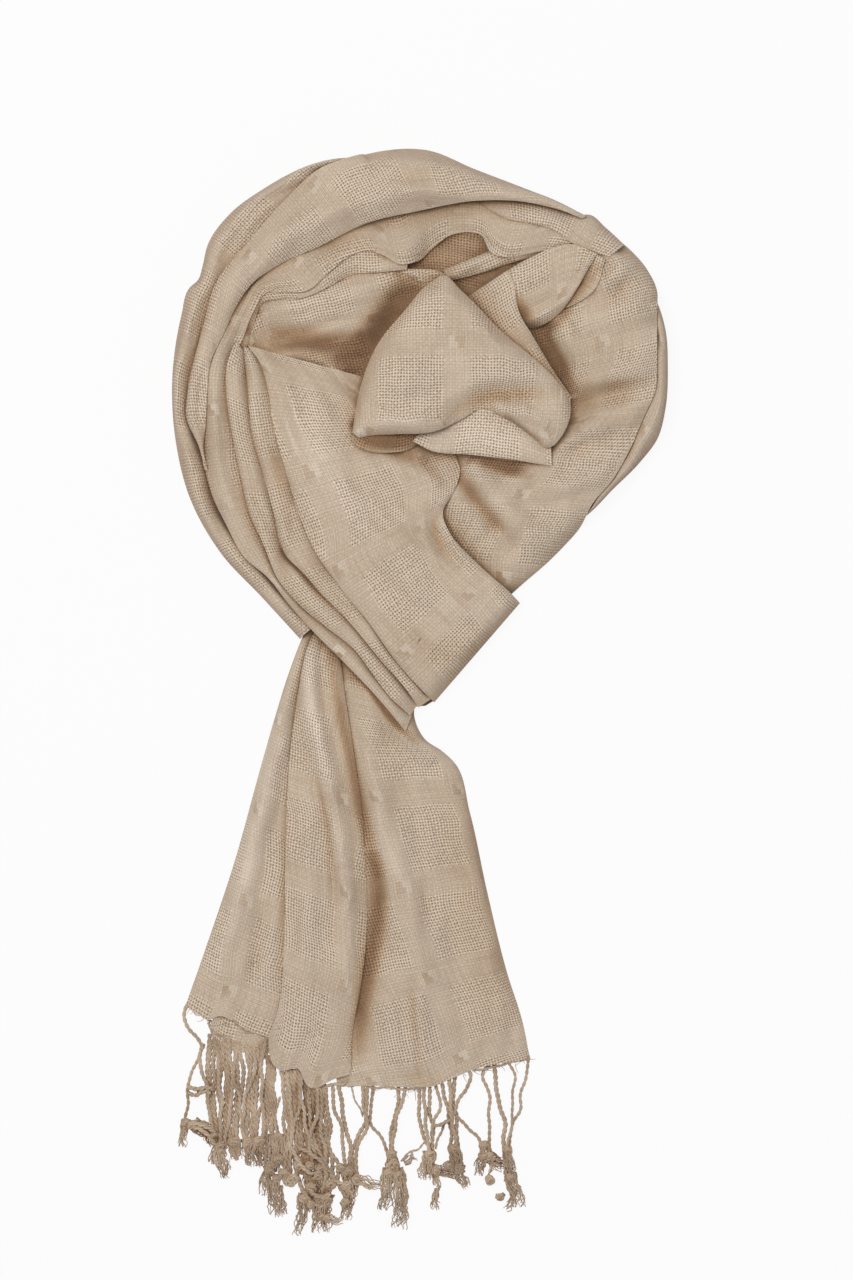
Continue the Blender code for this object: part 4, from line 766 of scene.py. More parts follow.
def fold_rise(x, y, high, left, right, path):
    """Height of one fold at the points: a soft bell across its run, which fades at both ends."""
    path = np.array(path, float)
    knots = lengths(path)
    run = np.linspace(0, knots[-1], max(FOLD_POINTS, int(knots[-1] / FOLD_STEP)))
    line = smooth(knots, path, run)
    along = np.gradient(line, axis=0)
    along /= np.linalg.norm(along, axis=1)[:, None]
    points = np.stack([x.ravel(), y.ravel()], 1)
    squares = ((points[:, None, :] - line[None]) ** 2).sum(2)
    near = squares.argmin(1)
    off = points - line[near]
    side = along[near, 0] * off[:, 1] - along[near, 1] * off[:, 0]
    share = np.sqrt(squares.min(1)) / np.where(side > 0, left, right)
    bell = (1 - np.minimum(share, 1) ** 2) ** 2
    fade = np.sin(math.pi * np.clip(run[near] / knots[-1], 0, 1)) ** 0.5
    return (high * bell * fade).reshape(x.shape)


outer_edge = lengths(np.array(LINES["left_outline"], float))
print("the left side's outer edge is", round(float(outer_edge[-1])), "mm long")

# %% Grids
WAVES = 7             # waves that make up a stretch's fine wrinkles
WRINKLE = 0.55        # height of each, in millimetres
WRINKLE_WIDE = (9, 26)    # least and greatest wave length across the stretch
WRINKLE_LONG = (45, 130)  # and along it
WRINKLE_PATCH = (19, 23)  # size of the patches in which a wave is strong or faint, across and along
WRINKLED = {"peak": 0.4, "hem_flap": 0.4, "swag": 0.6, "flank": 0.5, "lobe": 0.6, "top_band": 0.8}
UNEVEN = 0.22         # how much a rolled edge's radius grows and shrinks along the edge
UNEVEN_RUN = (17, 7.3)    # and the lengths over which it does


def side_rows(row):
    """Distance of each row along the stretch, and the rows' two ends, short of the lines by the seam."""
    sides = row["first"], row["second"]
    rough = sum(line_points(side, np.linspace(0, 1, ROUGH)) for side in sides) / 2
    length = lengths(rough)[-1]
    along = spread(length, row["roll_start"], row["roll_end"])
    first, second = (line_points(side, along / length) for side in sides)
    width = np.linalg.norm((second - first)[:, :2], axis=1)
    inset = np.minimum(SEAM / width, SEAM_MOST)[:, None]
    return along, first + (second - first) * inset, second + (first - second) * inset


def columns_across(row, along, width, usual, chance):
    """Distance of each column from the first line in every row, and the two rolls, uneven along the edge."""
    rolls = np.array([row["roll_first"], row["roll_second"]], float)
    phase = chance.uniform(0, 2 * math.pi, (2, 2))
    swell = sum(np.sin(along[:, None] / run + start) for run, start in zip(UNEVEN_RUN, phase))
    drawn = rolls * (1 + UNEVEN / 2 * swell)
    drawn *= np.minimum(1, ROLLS_MOST * width / np.maximum(drawn.sum(1), 1e-6))[:, None]
    usual_rolls = np.minimum(rolls, ROLLS_MOST / 2 * usual)
    flat = max(2, round((usual - usual_rolls.sum()) / FACET) + 1)
    parts = [drawn[:, :1] + np.linspace(0, 1, flat) * (width - drawn.sum(1))[:, None]]
    if rolls[0]:
        parts.insert(0, drawn[:, :1] * ROUNDING)
    if rolls[1]:
        parts.append(width[:, None] - drawn[:, 1:] * ROUNDING[::-1])
    return np.concatenate(parts, 1), drawn


def hem_pull(row, along, across, ahead):
    """How far each point moves along the stretch to bring its end to the cut hem."""
    hem = np.array(HEMS[row["name"]], float)
    beyond = smooth(hem[:, 0], hem[:, 1:], across[-1])[:, 0]
    near = np.clip(1 - (along[-1] - along) / HEM_REACH, 0, 1)
    return near[:, None, None] * beyond[None, :, None] * ahead / np.linalg.norm(ahead)


STEEP = 0.55          # an edge above the floor drops at most this share of its roll's radius
FLOOR_FEET = (3, 6)   # feet below the first are on the floor, and those above the second aren't
TUCKED = {  # the side, first (0) or last (-1), that is tucked under a neighbour
    "outer_fold": -1, "swag": -1, "fourth_fold": -1, "fifth_fold": -1, "tail_left_panel": -1, "right_rim": 0,
}
TUCK = (1.5, 3.0, 5.0)    # how far the hidden columns of a tucked edge reach under its neighbour
TUCK_START = 0.8          # how far they fall at once
TUCK_FALL = 0.35          # and then for each millimetre
TUCK_LOW = 0.5            # how much lower than its neighbour's foot a tucked side's foot is
LOW_SIDE = 2.0            # and its shoulder is only this much above its foot
TUCK_FROM = 3             # the column in from the edge from which the way out is taken


def with_tuck(grid, edge):
    """The grid with columns beyond this edge that carry the cloth on under its neighbour."""
    inner = TUCK_FROM if edge == 0 else edge - TUCK_FROM
    way = grid[:, edge, :2] - grid[:, inner, :2]
    way /= np.linalg.norm(way, axis=1)[:, None]
    reach = np.array(TUCK)[None, :, None]
    extra = np.repeat(grid[:, edge][:, None], len(TUCK), 1)
    extra[..., :2] += way[:, None] * reach
    extra[..., 2] = np.maximum(extra[..., 2] - TUCK_FALL * reach[..., 0] - TUCK_START, CLOTH)
    return np.concatenate([extra[:, ::-1], grid] if edge == 0 else [grid, extra], 1)


def wrinkles(along, across, chance):
    """Small soft ridges, mostly along the stretch: a sum of waves, each strong here and faint there."""
    rise = np.zeros(across.shape)
    for _ in range(WAVES):
        wide, long = chance.uniform(*WRINKLE_WIDE), chance.uniform(*WRINKLE_LONG) * chance.choice([-1, 1])
        phase = chance.uniform(0, 2 * math.pi, 3)
        ridge = np.sin(2 * math.pi * (across / wide + along[:, None] / long) + phase[0])
        strong = np.sin(across / WRINKLE_PATCH[0] + phase[1])
        strong = strong * np.sin(along[:, None] / WRINKLE_PATCH[1] + phase[2])
        rise += WRINKLE * ridge * strong
    return rise


def edge_drop(crest, foot, radius):
    """How far the cloth falls from its crest to an edge: to the floor, or in a gentle slope on the heap."""
    aloft = np.clip((foot - FLOOR_FEET[0]) / (FLOOR_FEET[1] - FLOOR_FEET[0]), 1e-3, 1)
    return np.minimum(np.maximum(crest - foot, 0), STEEP * radius / aloft)


def stretch_grid(row, number):
    """The upper surface of a stretch as a grid of points, before it is laid on the heap."""
    chance = np.random.default_rng(number)
    along, first, second = side_rows(row)
    if row["name"] in TUCKED:
        low = (first, second)[TUCKED[row["name"]]]
        low[:, 2] = np.maximum(low[:, 2] - TUCK_LOW, CLOTH)
        low[:, 3] = np.minimum(low[:, 3], low[:, 2] + LOW_SIDE)
    width = np.linalg.norm((second - first)[:, :2], axis=1)
    usual = float(np.percentile(width, USUAL))
    from_first, rolls = columns_across(row, along, width, usual, chance)
    across = from_first / width[:, None]
    grid = first[:, None, :3] * (1 - across[..., None]) + second[:, None, :3] * across[..., None]
    if row["name"] in HEMS:
        grid[..., :2] += hem_pull(row, along, across, (first + second)[-1, :2] - (first + second)[-2, :2])
    crest = first[:, None, 3] * (1 - across) + second[:, None, 3] * across
    crest = crest + row["crown"] * np.minimum(1, width / usual)[:, None] * (1 - (2 * across - 1) ** 2)
    for high, left, right, *path in FOLDS.get(row["name"], ()):
        crest = crest + fold_rise(grid[..., 0], grid[..., 1], high, left, right, path)
    crest = crest + wrinkles(along, from_first, chance) * WRINKLED.get(row["name"], 1)
    z = crest.copy()
    sides = (from_first, rolls[:, :1], first), (width[:, None] - from_first, rolls[:, 1:], second)
    for distance, radius, line in sides:
        foot = line[:, None, 2]
        z -= edge_drop(crest, foot, radius) * (1 - roll(distance, radius, foot))
    for distance, radius in ((along, row["roll_start"]), (along[-1] - along, row["roll_end"])):
        if radius:
            turned = roll(distance[:, None], radius, row["end_foot"])
            z -= edge_drop(z, row["end_foot"], radius) * (1 - turned)
    grid[..., 2] = np.maximum(z, CLOTH)
    if row["name"] in TUCKED:
        grid = with_tuck(grid, TUCKED[row["name"]])
    faces_up = np.cross(np.gradient(grid, axis=1), np.gradient(grid, axis=0))[..., 2].mean() > 0
    return grid if faces_up else grid[:, ::-1]


print("the heaped end has", len(side_rows(STRETCHES[-1])[0]), "rows of points")

# %% [markdown]
# ## Laying one stretch on another
# The heap is a map of heights over small squares. A stretch is lifted wherever its underside would cut into
# what lies there already. Lifting single points would leave spikes, so each lift is first widened to its
# highest neighbour and then averaged over the same reach: cloth bends softly over what it lies on, and stays
# clear of it.

# %% The heap
CLOTH = 0.9           # thickness of the cloth, in millimetres
THIN = 0.3            # thickness at a stretch's edges
TAPER = 5             # facets over which it grows to the whole thickness
GAP = 0.15            # clear height between two layers
FINE = 4              # test points along each side of a facet
TRIES = 12            # the most rounds of lifting
NEAR_ENOUGH = 0.03    # the height at which a stretch counts as clear
SOFT = 3              # facets over which a lift is widened and averaged
LEVEL_LEAST = 0.45    # the steepest slope, as a cosine, at which the cloth keeps its whole thickness
TURN_DOWN = (3.2, 5.5)    # an edge less than this far above the heap turns down onto it, and from this on not


class Heap:
    """The height of what already lies there, on small squares."""

    LEFT, BOTTOM, SQUARE, WIDE, HIGH = -190, -395, 0.5, 761, 1571

    def __init__(self, start=0.0):
        self.top = np.full((self.HIGH, self.WIDE), float(start))

    def cell(self, points):
        """The row and the column of the square that each point is over."""
        column = np.clip(np.rint((points[..., 0] - self.LEFT) / self.SQUARE).astype(int), 0, self.WIDE - 1)
        row = np.clip(np.rint((points[..., 1] - self.BOTTOM) / self.SQUARE).astype(int), 0, self.HIGH - 1)
        return row, column

    def raise_to(self, points):
        """Raises the squares under the points to their height."""
        np.maximum.at(self.top, self.cell(points), points[..., 2])

    def lower_to(self, points):
        """Lowers the squares over the points to their height."""
        np.minimum.at(self.top, self.cell(points), points[..., 2])


def facet_weights(fine):
    """Weights of a facet's four corners at points spread over both of its triangles, a row for each point."""
    s, t = (side.ravel() / fine for side in np.mgrid[0:fine + 1, 0:fine + 1])
    lower, upper = s >= t, t >= s
    none = np.zeros_like(s)
    return np.concatenate([
        np.stack([1 - s, none, t, s - t], 1)[lower], np.stack([1 - t, t - s, s, none], 1)[upper],
    ])


def facet_points(grid, fine):
    """Points spread over every facet, as (rows, columns, points, xyz)."""
    corners = np.stack([grid[:-1, :-1], grid[:-1, 1:], grid[1:, 1:], grid[1:, :-1]], 2)
    return np.einsum("pk,rckx->rcpx", facet_weights(fine), corners)


def corner_moves(short, fine):
    """How far each corner has to move to put right the worst point of each facet, short by this much."""
    weights = facet_weights(fine)[short.argmax(2)]
    moves = np.maximum(short.max(2), 0)[..., None] * weights / (weights**2).sum(2)[..., None]
    move = np.zeros((short.shape[0] + 1, short.shape[1] + 1))
    spots = ((slice(0, -1), slice(0, -1)), (slice(0, -1), slice(1, None)),
             (slice(1, None), slice(1, None)), (slice(1, None), slice(0, -1)))
    for k, spot in enumerate(spots):
        move[spot] = np.maximum(move[spot], moves[..., k])
    return move


def around(field, reach, blend):
    """The blend, such as the highest or the mean, of each value's neighbours within reach, both ways."""
    for axis in (0, 1):
        padding = [(reach, reach) if axis == side else (0, 0) for side in (0, 1)]
        padded = np.pad(field, padding, mode="edge")
        field = blend(np.lib.stride_tricks.sliding_window_view(padded, 2 * reach + 1, axis), axis=-1)
    return field


def underside(grid):
    """The grid lowered by the cloth's thickness, measured square to the slope, but not under the floor."""
    edge = (np.minimum(np.arange(size), np.arange(size)[::-1]) for size in grid.shape[:2])
    wall = THIN + (CLOTH - THIN) * np.minimum(np.minimum.outer(*edge) / TAPER, 1)
    normal = np.cross(np.gradient(grid, axis=0), np.gradient(grid, axis=1))
    level = np.abs(normal[..., 2]) / (np.linalg.norm(normal, axis=2) + 1e-12)
    under = grid.copy()
    under[..., 2] = np.maximum(grid[..., 2] - wall / np.maximum(level, LEVEL_LEAST), 0)
    return under


def turned_down(grid, heap):
    """The underside, its outermost points brought down onto a near heap: a folded edge has no slit."""
    under = underside(grid)
    drop = np.maximum(under[..., 2] - heap.top[heap.cell(grid)] - GAP, 0)
    drop *= np.clip((TURN_DOWN[1] - drop) / (TURN_DOWN[1] - TURN_DOWN[0]), 0, 1)
    drop[1:-1, 1:-1] = 0
    under[..., 2] -= drop
    return under


def lay(grid, heap):
    """Softly lifts the grid until it clears the heap, adds it to the heap, and gives both of its sides."""
    for _ in range(TRIES):
        points = facet_points(underside(grid), FINE)
        below = heap.top[heap.cell(points)]
        move = corner_moves(np.where(below > 0, below + GAP - points[..., 2], -1), FINE)
        if move.max() <= NEAR_ENOUGH:
            break
        grid[..., 2] += around(around(move, SOFT, np.max), SOFT, np.mean)
    under = turned_down(grid, heap)
    heap.raise_to(facet_points(grid, 2 * FINE))
    return grid, under


print("the heap has", Heap.WIDE, "x", Heap.HIGH, "squares of", Heap.SQUARE, "mm")

# %% [markdown]
# ## The pattern on each stretch
# The weave runs on from stretch to stretch on the real cloth, but each fold turns and shifts it. Each
# stretch's UV map measures its own lengths, over every rise and fall. It is then shifted so that a crossing
# of two stripes falls on the place given here, which may be beside the stretch, and turned by the lean. On
# the heaped end the weave keeps square to the floor's directions.

# %% Where the pattern falls
WEAVE = {  # x and y of a crossing
    "tail_back_layer": (-113, -214), "tail_left_panel": (-121, -147), "tail_right_panel": (-11, -138),
    "tail_middle_panel": (-52, -207), "outer_fold": (-178, 243), "right_rim": (168, 243),
    "right_band": (127, 242), "back_panel": (-95, 248), "inner_wall": (60, 330), "swag_back": (-94, 240),
    "inner_strip": (6, 314), "swag": (28, 340), "top_right_fold": (44, 306), "top_band": (-73, 352),
    "lobe_lining": (88, 300), "lobe": (44, 262), "fourth_fold": (-88, 150), "fifth_fold": (-128, 146),
    "front_panel": (-75, 152), "flank": (88, 254), "peak_curl": (-24, 190), "hem_flap": (12, 205),
    "peak": (28.5, 244),
}
LEAN = {"tail_right_panel": -9, "top_band": -14}      # degrees by which the weave leans from its stretch
SQUARE = {"peak"}         # stretches on which it keeps square to the floor's directions


def turning(angle):
    """What turns rows of x and y by this angle, when they are multiplied by it."""
    return np.array([[math.cos(angle), math.sin(angle)], [-math.sin(angle), math.cos(angle)]])


def gathered(steps, axis, middle):
    """The running sum of the steps along an axis, measured from the row or column in the middle."""
    start = np.zeros_like(np.take(steps, [0], axis))
    total = np.concatenate([start, np.cumsum(steps, axis)], axis)
    return total - np.take(total, [middle], axis)


def cloth_map(grid, name):
    """Millimetres of cloth across and along at each point, so that a crossing falls where the table says."""
    place = np.array(WEAVE[name])
    flat = grid[..., :2]
    ways = [np.gradient(flat, axis=axis) for axis in (1, 0)]
    far_across, far_along = (np.linalg.norm(np.diff(grid, axis=axis), axis=2) for axis in (1, 0))
    if name in SQUARE:
        cloth = flat
        for axis, far, way in ((1, far_across, ways[0]), (0, far_along, ways[1])):
            far_flat = np.linalg.norm(np.diff(flat, axis=axis), axis=2)
            extra = gathered(far - far_flat, axis, grid.shape[axis] // 2)
            cloth = cloth + extra[..., None] * (way / np.linalg.norm(way, axis=2)[..., None])
    else:
        middle = grid.shape[1] // 2
        across = gathered(far_across, 1, middle)
        along = gathered(far_along[:, middle], 0, 0)
        cloth = np.stack([across, np.broadcast_to(along[:, None], across.shape)], 2)
    nearest = np.unravel_index(((flat - place) ** 2).sum(2).argmin(), flat.shape[:2])
    beside = [(place - flat[nearest]) @ way[nearest] / np.linalg.norm(way[nearest]) for way in ways]
    return (cloth - cloth[nearest] - beside) @ turning(math.radians(LEAN.get(name, 0)))


print("a crossing is placed on each of", len(WEAVE), "stretches")

# %% [markdown]
# ## Making a piece
# A stretch becomes a closed shell: its upper side, its underside and a narrow rim between them. The arrays go
# straight into the mesh, with the UV map and, for each point, its painted shade and highlight.

# %% Mesh makers
SHARP = 30            # faces that meet at more than this many degrees don't share their shading


def shell_faces(rows, columns):
    """Corners of the faces of a closed shell, whose upper points come first and lower points follow."""
    index = np.arange(rows * columns).reshape(rows, columns)
    upper = np.stack([index[:-1, :-1], index[:-1, 1:], index[1:, 1:], index[1:, :-1]], -1).reshape(-1, 4)
    rim = np.concatenate([index[0, :-1], index[:-1, -1], index[-1, :0:-1], index[:0:-1, 0]])
    after = np.roll(rim, -1)
    sides = np.stack([rim, rim + rows * columns, after + rows * columns, after], 1)
    return np.concatenate([upper, upper[:, ::-1] + rows * columns, sides])


def ring_faces(count, around_each):
    """Corners of the faces of a closed solid made of rings of points, its two end rings shut."""
    index = np.arange(count * around_each).reshape(count, around_each)
    after = np.roll(index, -1, axis=1)
    sides = np.stack([index[:-1], index[1:], after[1:], after[:-1]], -1).reshape(-1, 4)
    half = np.arange(around_each // 2 - 1)
    across = half, half + 1, -2 - half, -1 - half
    first, last = (np.stack([ring[k] for k in across], 1) for ring in index[[0, -1]])
    return np.concatenate([sides, first, last[:, ::-1]])


def make_piece(name, points, faces, cloth, depth, material):
    """An object of this name from points and cloth lengths in millimetres, and four-cornered faces."""
    mesh = bpy.data.meshes.new(name)
    mesh.vertices.add(len(points))
    mesh.vertices.foreach_set("co", (points * MM).astype(np.float32).ravel())
    mesh.loops.add(faces.size)
    mesh.loops.foreach_set("vertex_index", faces.astype(np.int32).ravel())
    mesh.polygons.add(len(faces))
    mesh.polygons.foreach_set("loop_start", np.arange(0, faces.size, faces.shape[1], dtype=np.int32))
    corner_cloth = (cloth * MM)[faces.ravel()].astype(np.float32)
    mesh.uv_layers.new(name="cloth").data.foreach_set("uv", corner_cloth.ravel())
    # The painted shade and highlight of each point, which the materials turn into colour.
    mesh.attributes.new("depth", "FLOAT", "POINT").data.foreach_set("value", depth.astype(np.float32))
    mesh.materials.append(material)
    mesh.update(calc_edges=True)
    mesh.shade_smooth()
    mesh.set_sharp_from_angle(angle=math.radians(SHARP))
    piece = placed(name, mesh)
    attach(piece, "root")
    return piece


print("a shell of 3 x 3 points has", len(shell_faces(3, 3)), "faces")

# %% Lay every stretch
heap, ceiling = Heap(), Heap(np.inf)
laid, below = {}, {}
for number, row in enumerate(STRETCHES):
    if number >= TAIL_STRETCHES:
        number += RING_NUMBER - TAIL_STRETCHES
    name = row["name"]
    laid[name], below[name] = lay(stretch_grid(row, number), heap)
    ceiling.lower_to(facet_points(below[name], 2 * FINE))
print(len(laid), "stretches, up to", round(float(heap.top.max()), 1), "mm high")

# %% [markdown]
# ## Painted shade deep in a fold
# Light that reaches the bottom of a fold has passed through and bounced off warm cloth, so the cloth looks
# browner there, and this shade is painted into its colour. How deep a point lies is worked out from the heap:
# in each of a few directions the steepest rise to the heap around it hides a part of the sky.

# %% Depth for the painted shade
WAYS = 12             # directions in which the heap is looked at
FAR = (3, 5, 7.5, 11, 16, 23)    # and how far off, in millimetres
LEAST_STEP = 1.0      # a rise of less than this hides nothing
GAIN = 1.6            # the share of hidden sky at which the painted shade is brownest is one over this


def depth_at(points, top):
    """The share of the sky that the heap hides: the mean of sin squared of its steepest rise each way."""
    hidden = np.zeros(points.shape[:-1])
    for way in np.linspace(0, 2 * math.pi, WAYS, endpoint=False):
        steep = np.zeros(points.shape[:-1])
        for far in FAR:
            place = points + far * np.array([math.cos(way), math.sin(way), 0])
            steep = np.maximum(steep, (top[heap.cell(place)] - points[..., 2] - LEAST_STEP) / far)
        hidden += steep**2 / (1 + steep**2)
    return np.clip(GAIN * hidden / WAYS, 0, 1)


soft_top = around(heap.top, 1, np.mean)
print("the heap's mean height is", round(float(soft_top[soft_top > 0].mean()), 1), "mm")

# %% Make the stretches
pieces = {}
for name, grid in laid.items():
    points = np.concatenate([grid.reshape(-1, 3), below[name].reshape(-1, 3)])
    cloth = np.tile(cloth_map(grid, name).reshape(-1, 2), (2, 1))
    # Painted shade from the heap around each point, plus the listed painted shades and highlights.
    depth = depth_at(grid, soft_top)
    for strong, left, right, *path in PAINTED_SHADES.get(name, ()):
        depth = depth + fold_rise(grid[..., 0], grid[..., 1], strong, left, right, path)
    depth = np.tile(np.clip(depth, -1, 1).ravel(), 2)
    piece = make_piece(name + "_cloth", points, shell_faces(*grid.shape[:2]), cloth, depth, weave)
    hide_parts(name)
    pieces[name] = piece
print("faces:", sum(len(piece.data.polygons) for piece in pieces.values()))

# %% [markdown]
# ## The layers that never show
# Under the folds the rest of the cloth lies in many layers. One rounded mound of the same cloth stands for
# them: rings of points from the middle to an outline, lowered until they are under every stretch.

# %% The mound
CORE_OUTLINE = [
    (168, 235), (162, 278), (142, 308), (114, 324), (74, 344), (30, 361), (-10, 372), (-50, 366), (-104, 348),
    (-138, 326), (-146, 296), (-158, 262), (-167, 215), (-164, 170), (-153, 134), (-132, 100), (-106, 76),
    (-76, 50), (-40, 16), (-14, -10), (6, -10), (30, 26), (58, 62), (94, 100), (122, 128), (152, 172),
]
CORE_MIDDLE = (0, 200)
CORE_RINGS = 22
CORE_AROUND = 110
CORE_HIGHEST = 60     # every point starts this high
CORE_GAP = 0.6        # clear height under the stretches
CORE_OPEN = 11        # height where no stretch covers the mound
CORE_LEAST = 1.2      # height of its rim
CORE_ROUNDS = 25      # the most rounds of lowering
CORE_EYE = 0.02       # size of the smallest ring, as a share of the next
HIDDEN_SHADE = 0.8    # painted shade: the mound lies deep in the folds


def mound_grid():
    """Rings of points from the middle to the outline. The first ring is the middle itself."""
    outline = np.array(CORE_OUTLINE + CORE_OUTLINE[:1], float)
    turn = smooth(lengths(outline), outline, np.linspace(0, lengths(outline)[-1], CORE_AROUND + 1))
    rings = np.linspace(0, 1, CORE_RINGS)[:, None, None]
    flat = np.array(CORE_MIDDLE) * (1 - rings) + turn[None] * rings
    return np.dstack([flat, np.full(flat.shape[:2], float(CORE_HIGHEST))])


def sink(grid, low):
    """Lowers the grid until every facet is under the low squares, the middle and the rings' ends together."""
    for _ in range(CORE_ROUNDS):
        points = facet_points(grid, 2 * FINE)
        drop = corner_moves(points[..., 2] + CORE_GAP - low[heap.cell(points)], 2 * FINE)
        if drop.max() <= NEAR_ENOUGH:
            break
        drop[0] = drop[0].max()
        drop[:, 0] = drop[:, -1] = np.maximum(drop[:, 0], drop[:, -1])
        grid[..., 2] = np.maximum(grid[..., 2] - drop, CORE_LEAST)
    return grid


def mound_mesh(grid):
    """Points and faces of the closed solid under the grid: its rings, and their like on the floor."""
    rings = grid[:, :-1].copy()
    rings[0, :, :2] += (rings[1, :, :2] - rings[0, :, :2]) * CORE_EYE
    rings = np.concatenate([rings, rings[::-1] * (1, 1, 0)])
    return rings.reshape(-1, 3), ring_faces(*rings.shape[:2])


low = ceiling.top.copy()
low[low > CORE_HIGHEST] = CORE_OPEN
mound_points, mound_faces = mound_mesh(sink(mound_grid(), low))
# The mound shows only deep in the folds, so it gets a deep painted shade.
mound_depth = np.full(len(mound_points), HIDDEN_SHADE)
mound = make_piece("under_layers", mound_points, mound_faces, mound_points[:, :2], mound_depth, weave)
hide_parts("hidden_layers")
print("the mound is", round(float(mound_points[:, 2].max()), 1), "mm high")

# %% [markdown]
# ## Fringe
# Each end of the cloth is knotted into cords. A cord is two yarns twisted round each other, so it is two
# tubes whose paths are helices round one smooth path. The cords meet in knots, and below each knot the yarns
# come apart into a tuft of fine threads.

# %% Cords
TWIST = 8.5           # length of one whole turn
PLY_OFF = 0.22        # how far each yarn of a cord lies from the middle, as a share of the cord's width
PLY_RADIUS = 0.30     # and its radius
CORD_STEP = 1.3       # from ring to ring of a yarn
CORD_RINGS = 6        # the fewest rings
SIDES = 6             # corners of a ring of a yarn
THREAD_SIDES = 4      # and of a loose thread
FLOOR_CLEAR = 0.3     # the lowest cords lie this far above the floor
LEVEL = 2.5           # height of one layer of cords
SWAY = 0.75           # how far a cord strays from its smooth path
SWAY_RUN = (5.2, 2.9)     # its two waves: the length of one radian of each,
SWAY_LESS = 0.6       # and the second's height as a share of the first's
SWAY_START = (1.7, 0.9)   # what a path's first x and last y are multiplied by, so that each sways its own way
UPWARDS = (0.05, 0.08, 1.0)   # nearly straight up, since a path may run straight up itself
ANY_START = (0, 6)    # a wave or a twist starts anywhere in about one whole turn

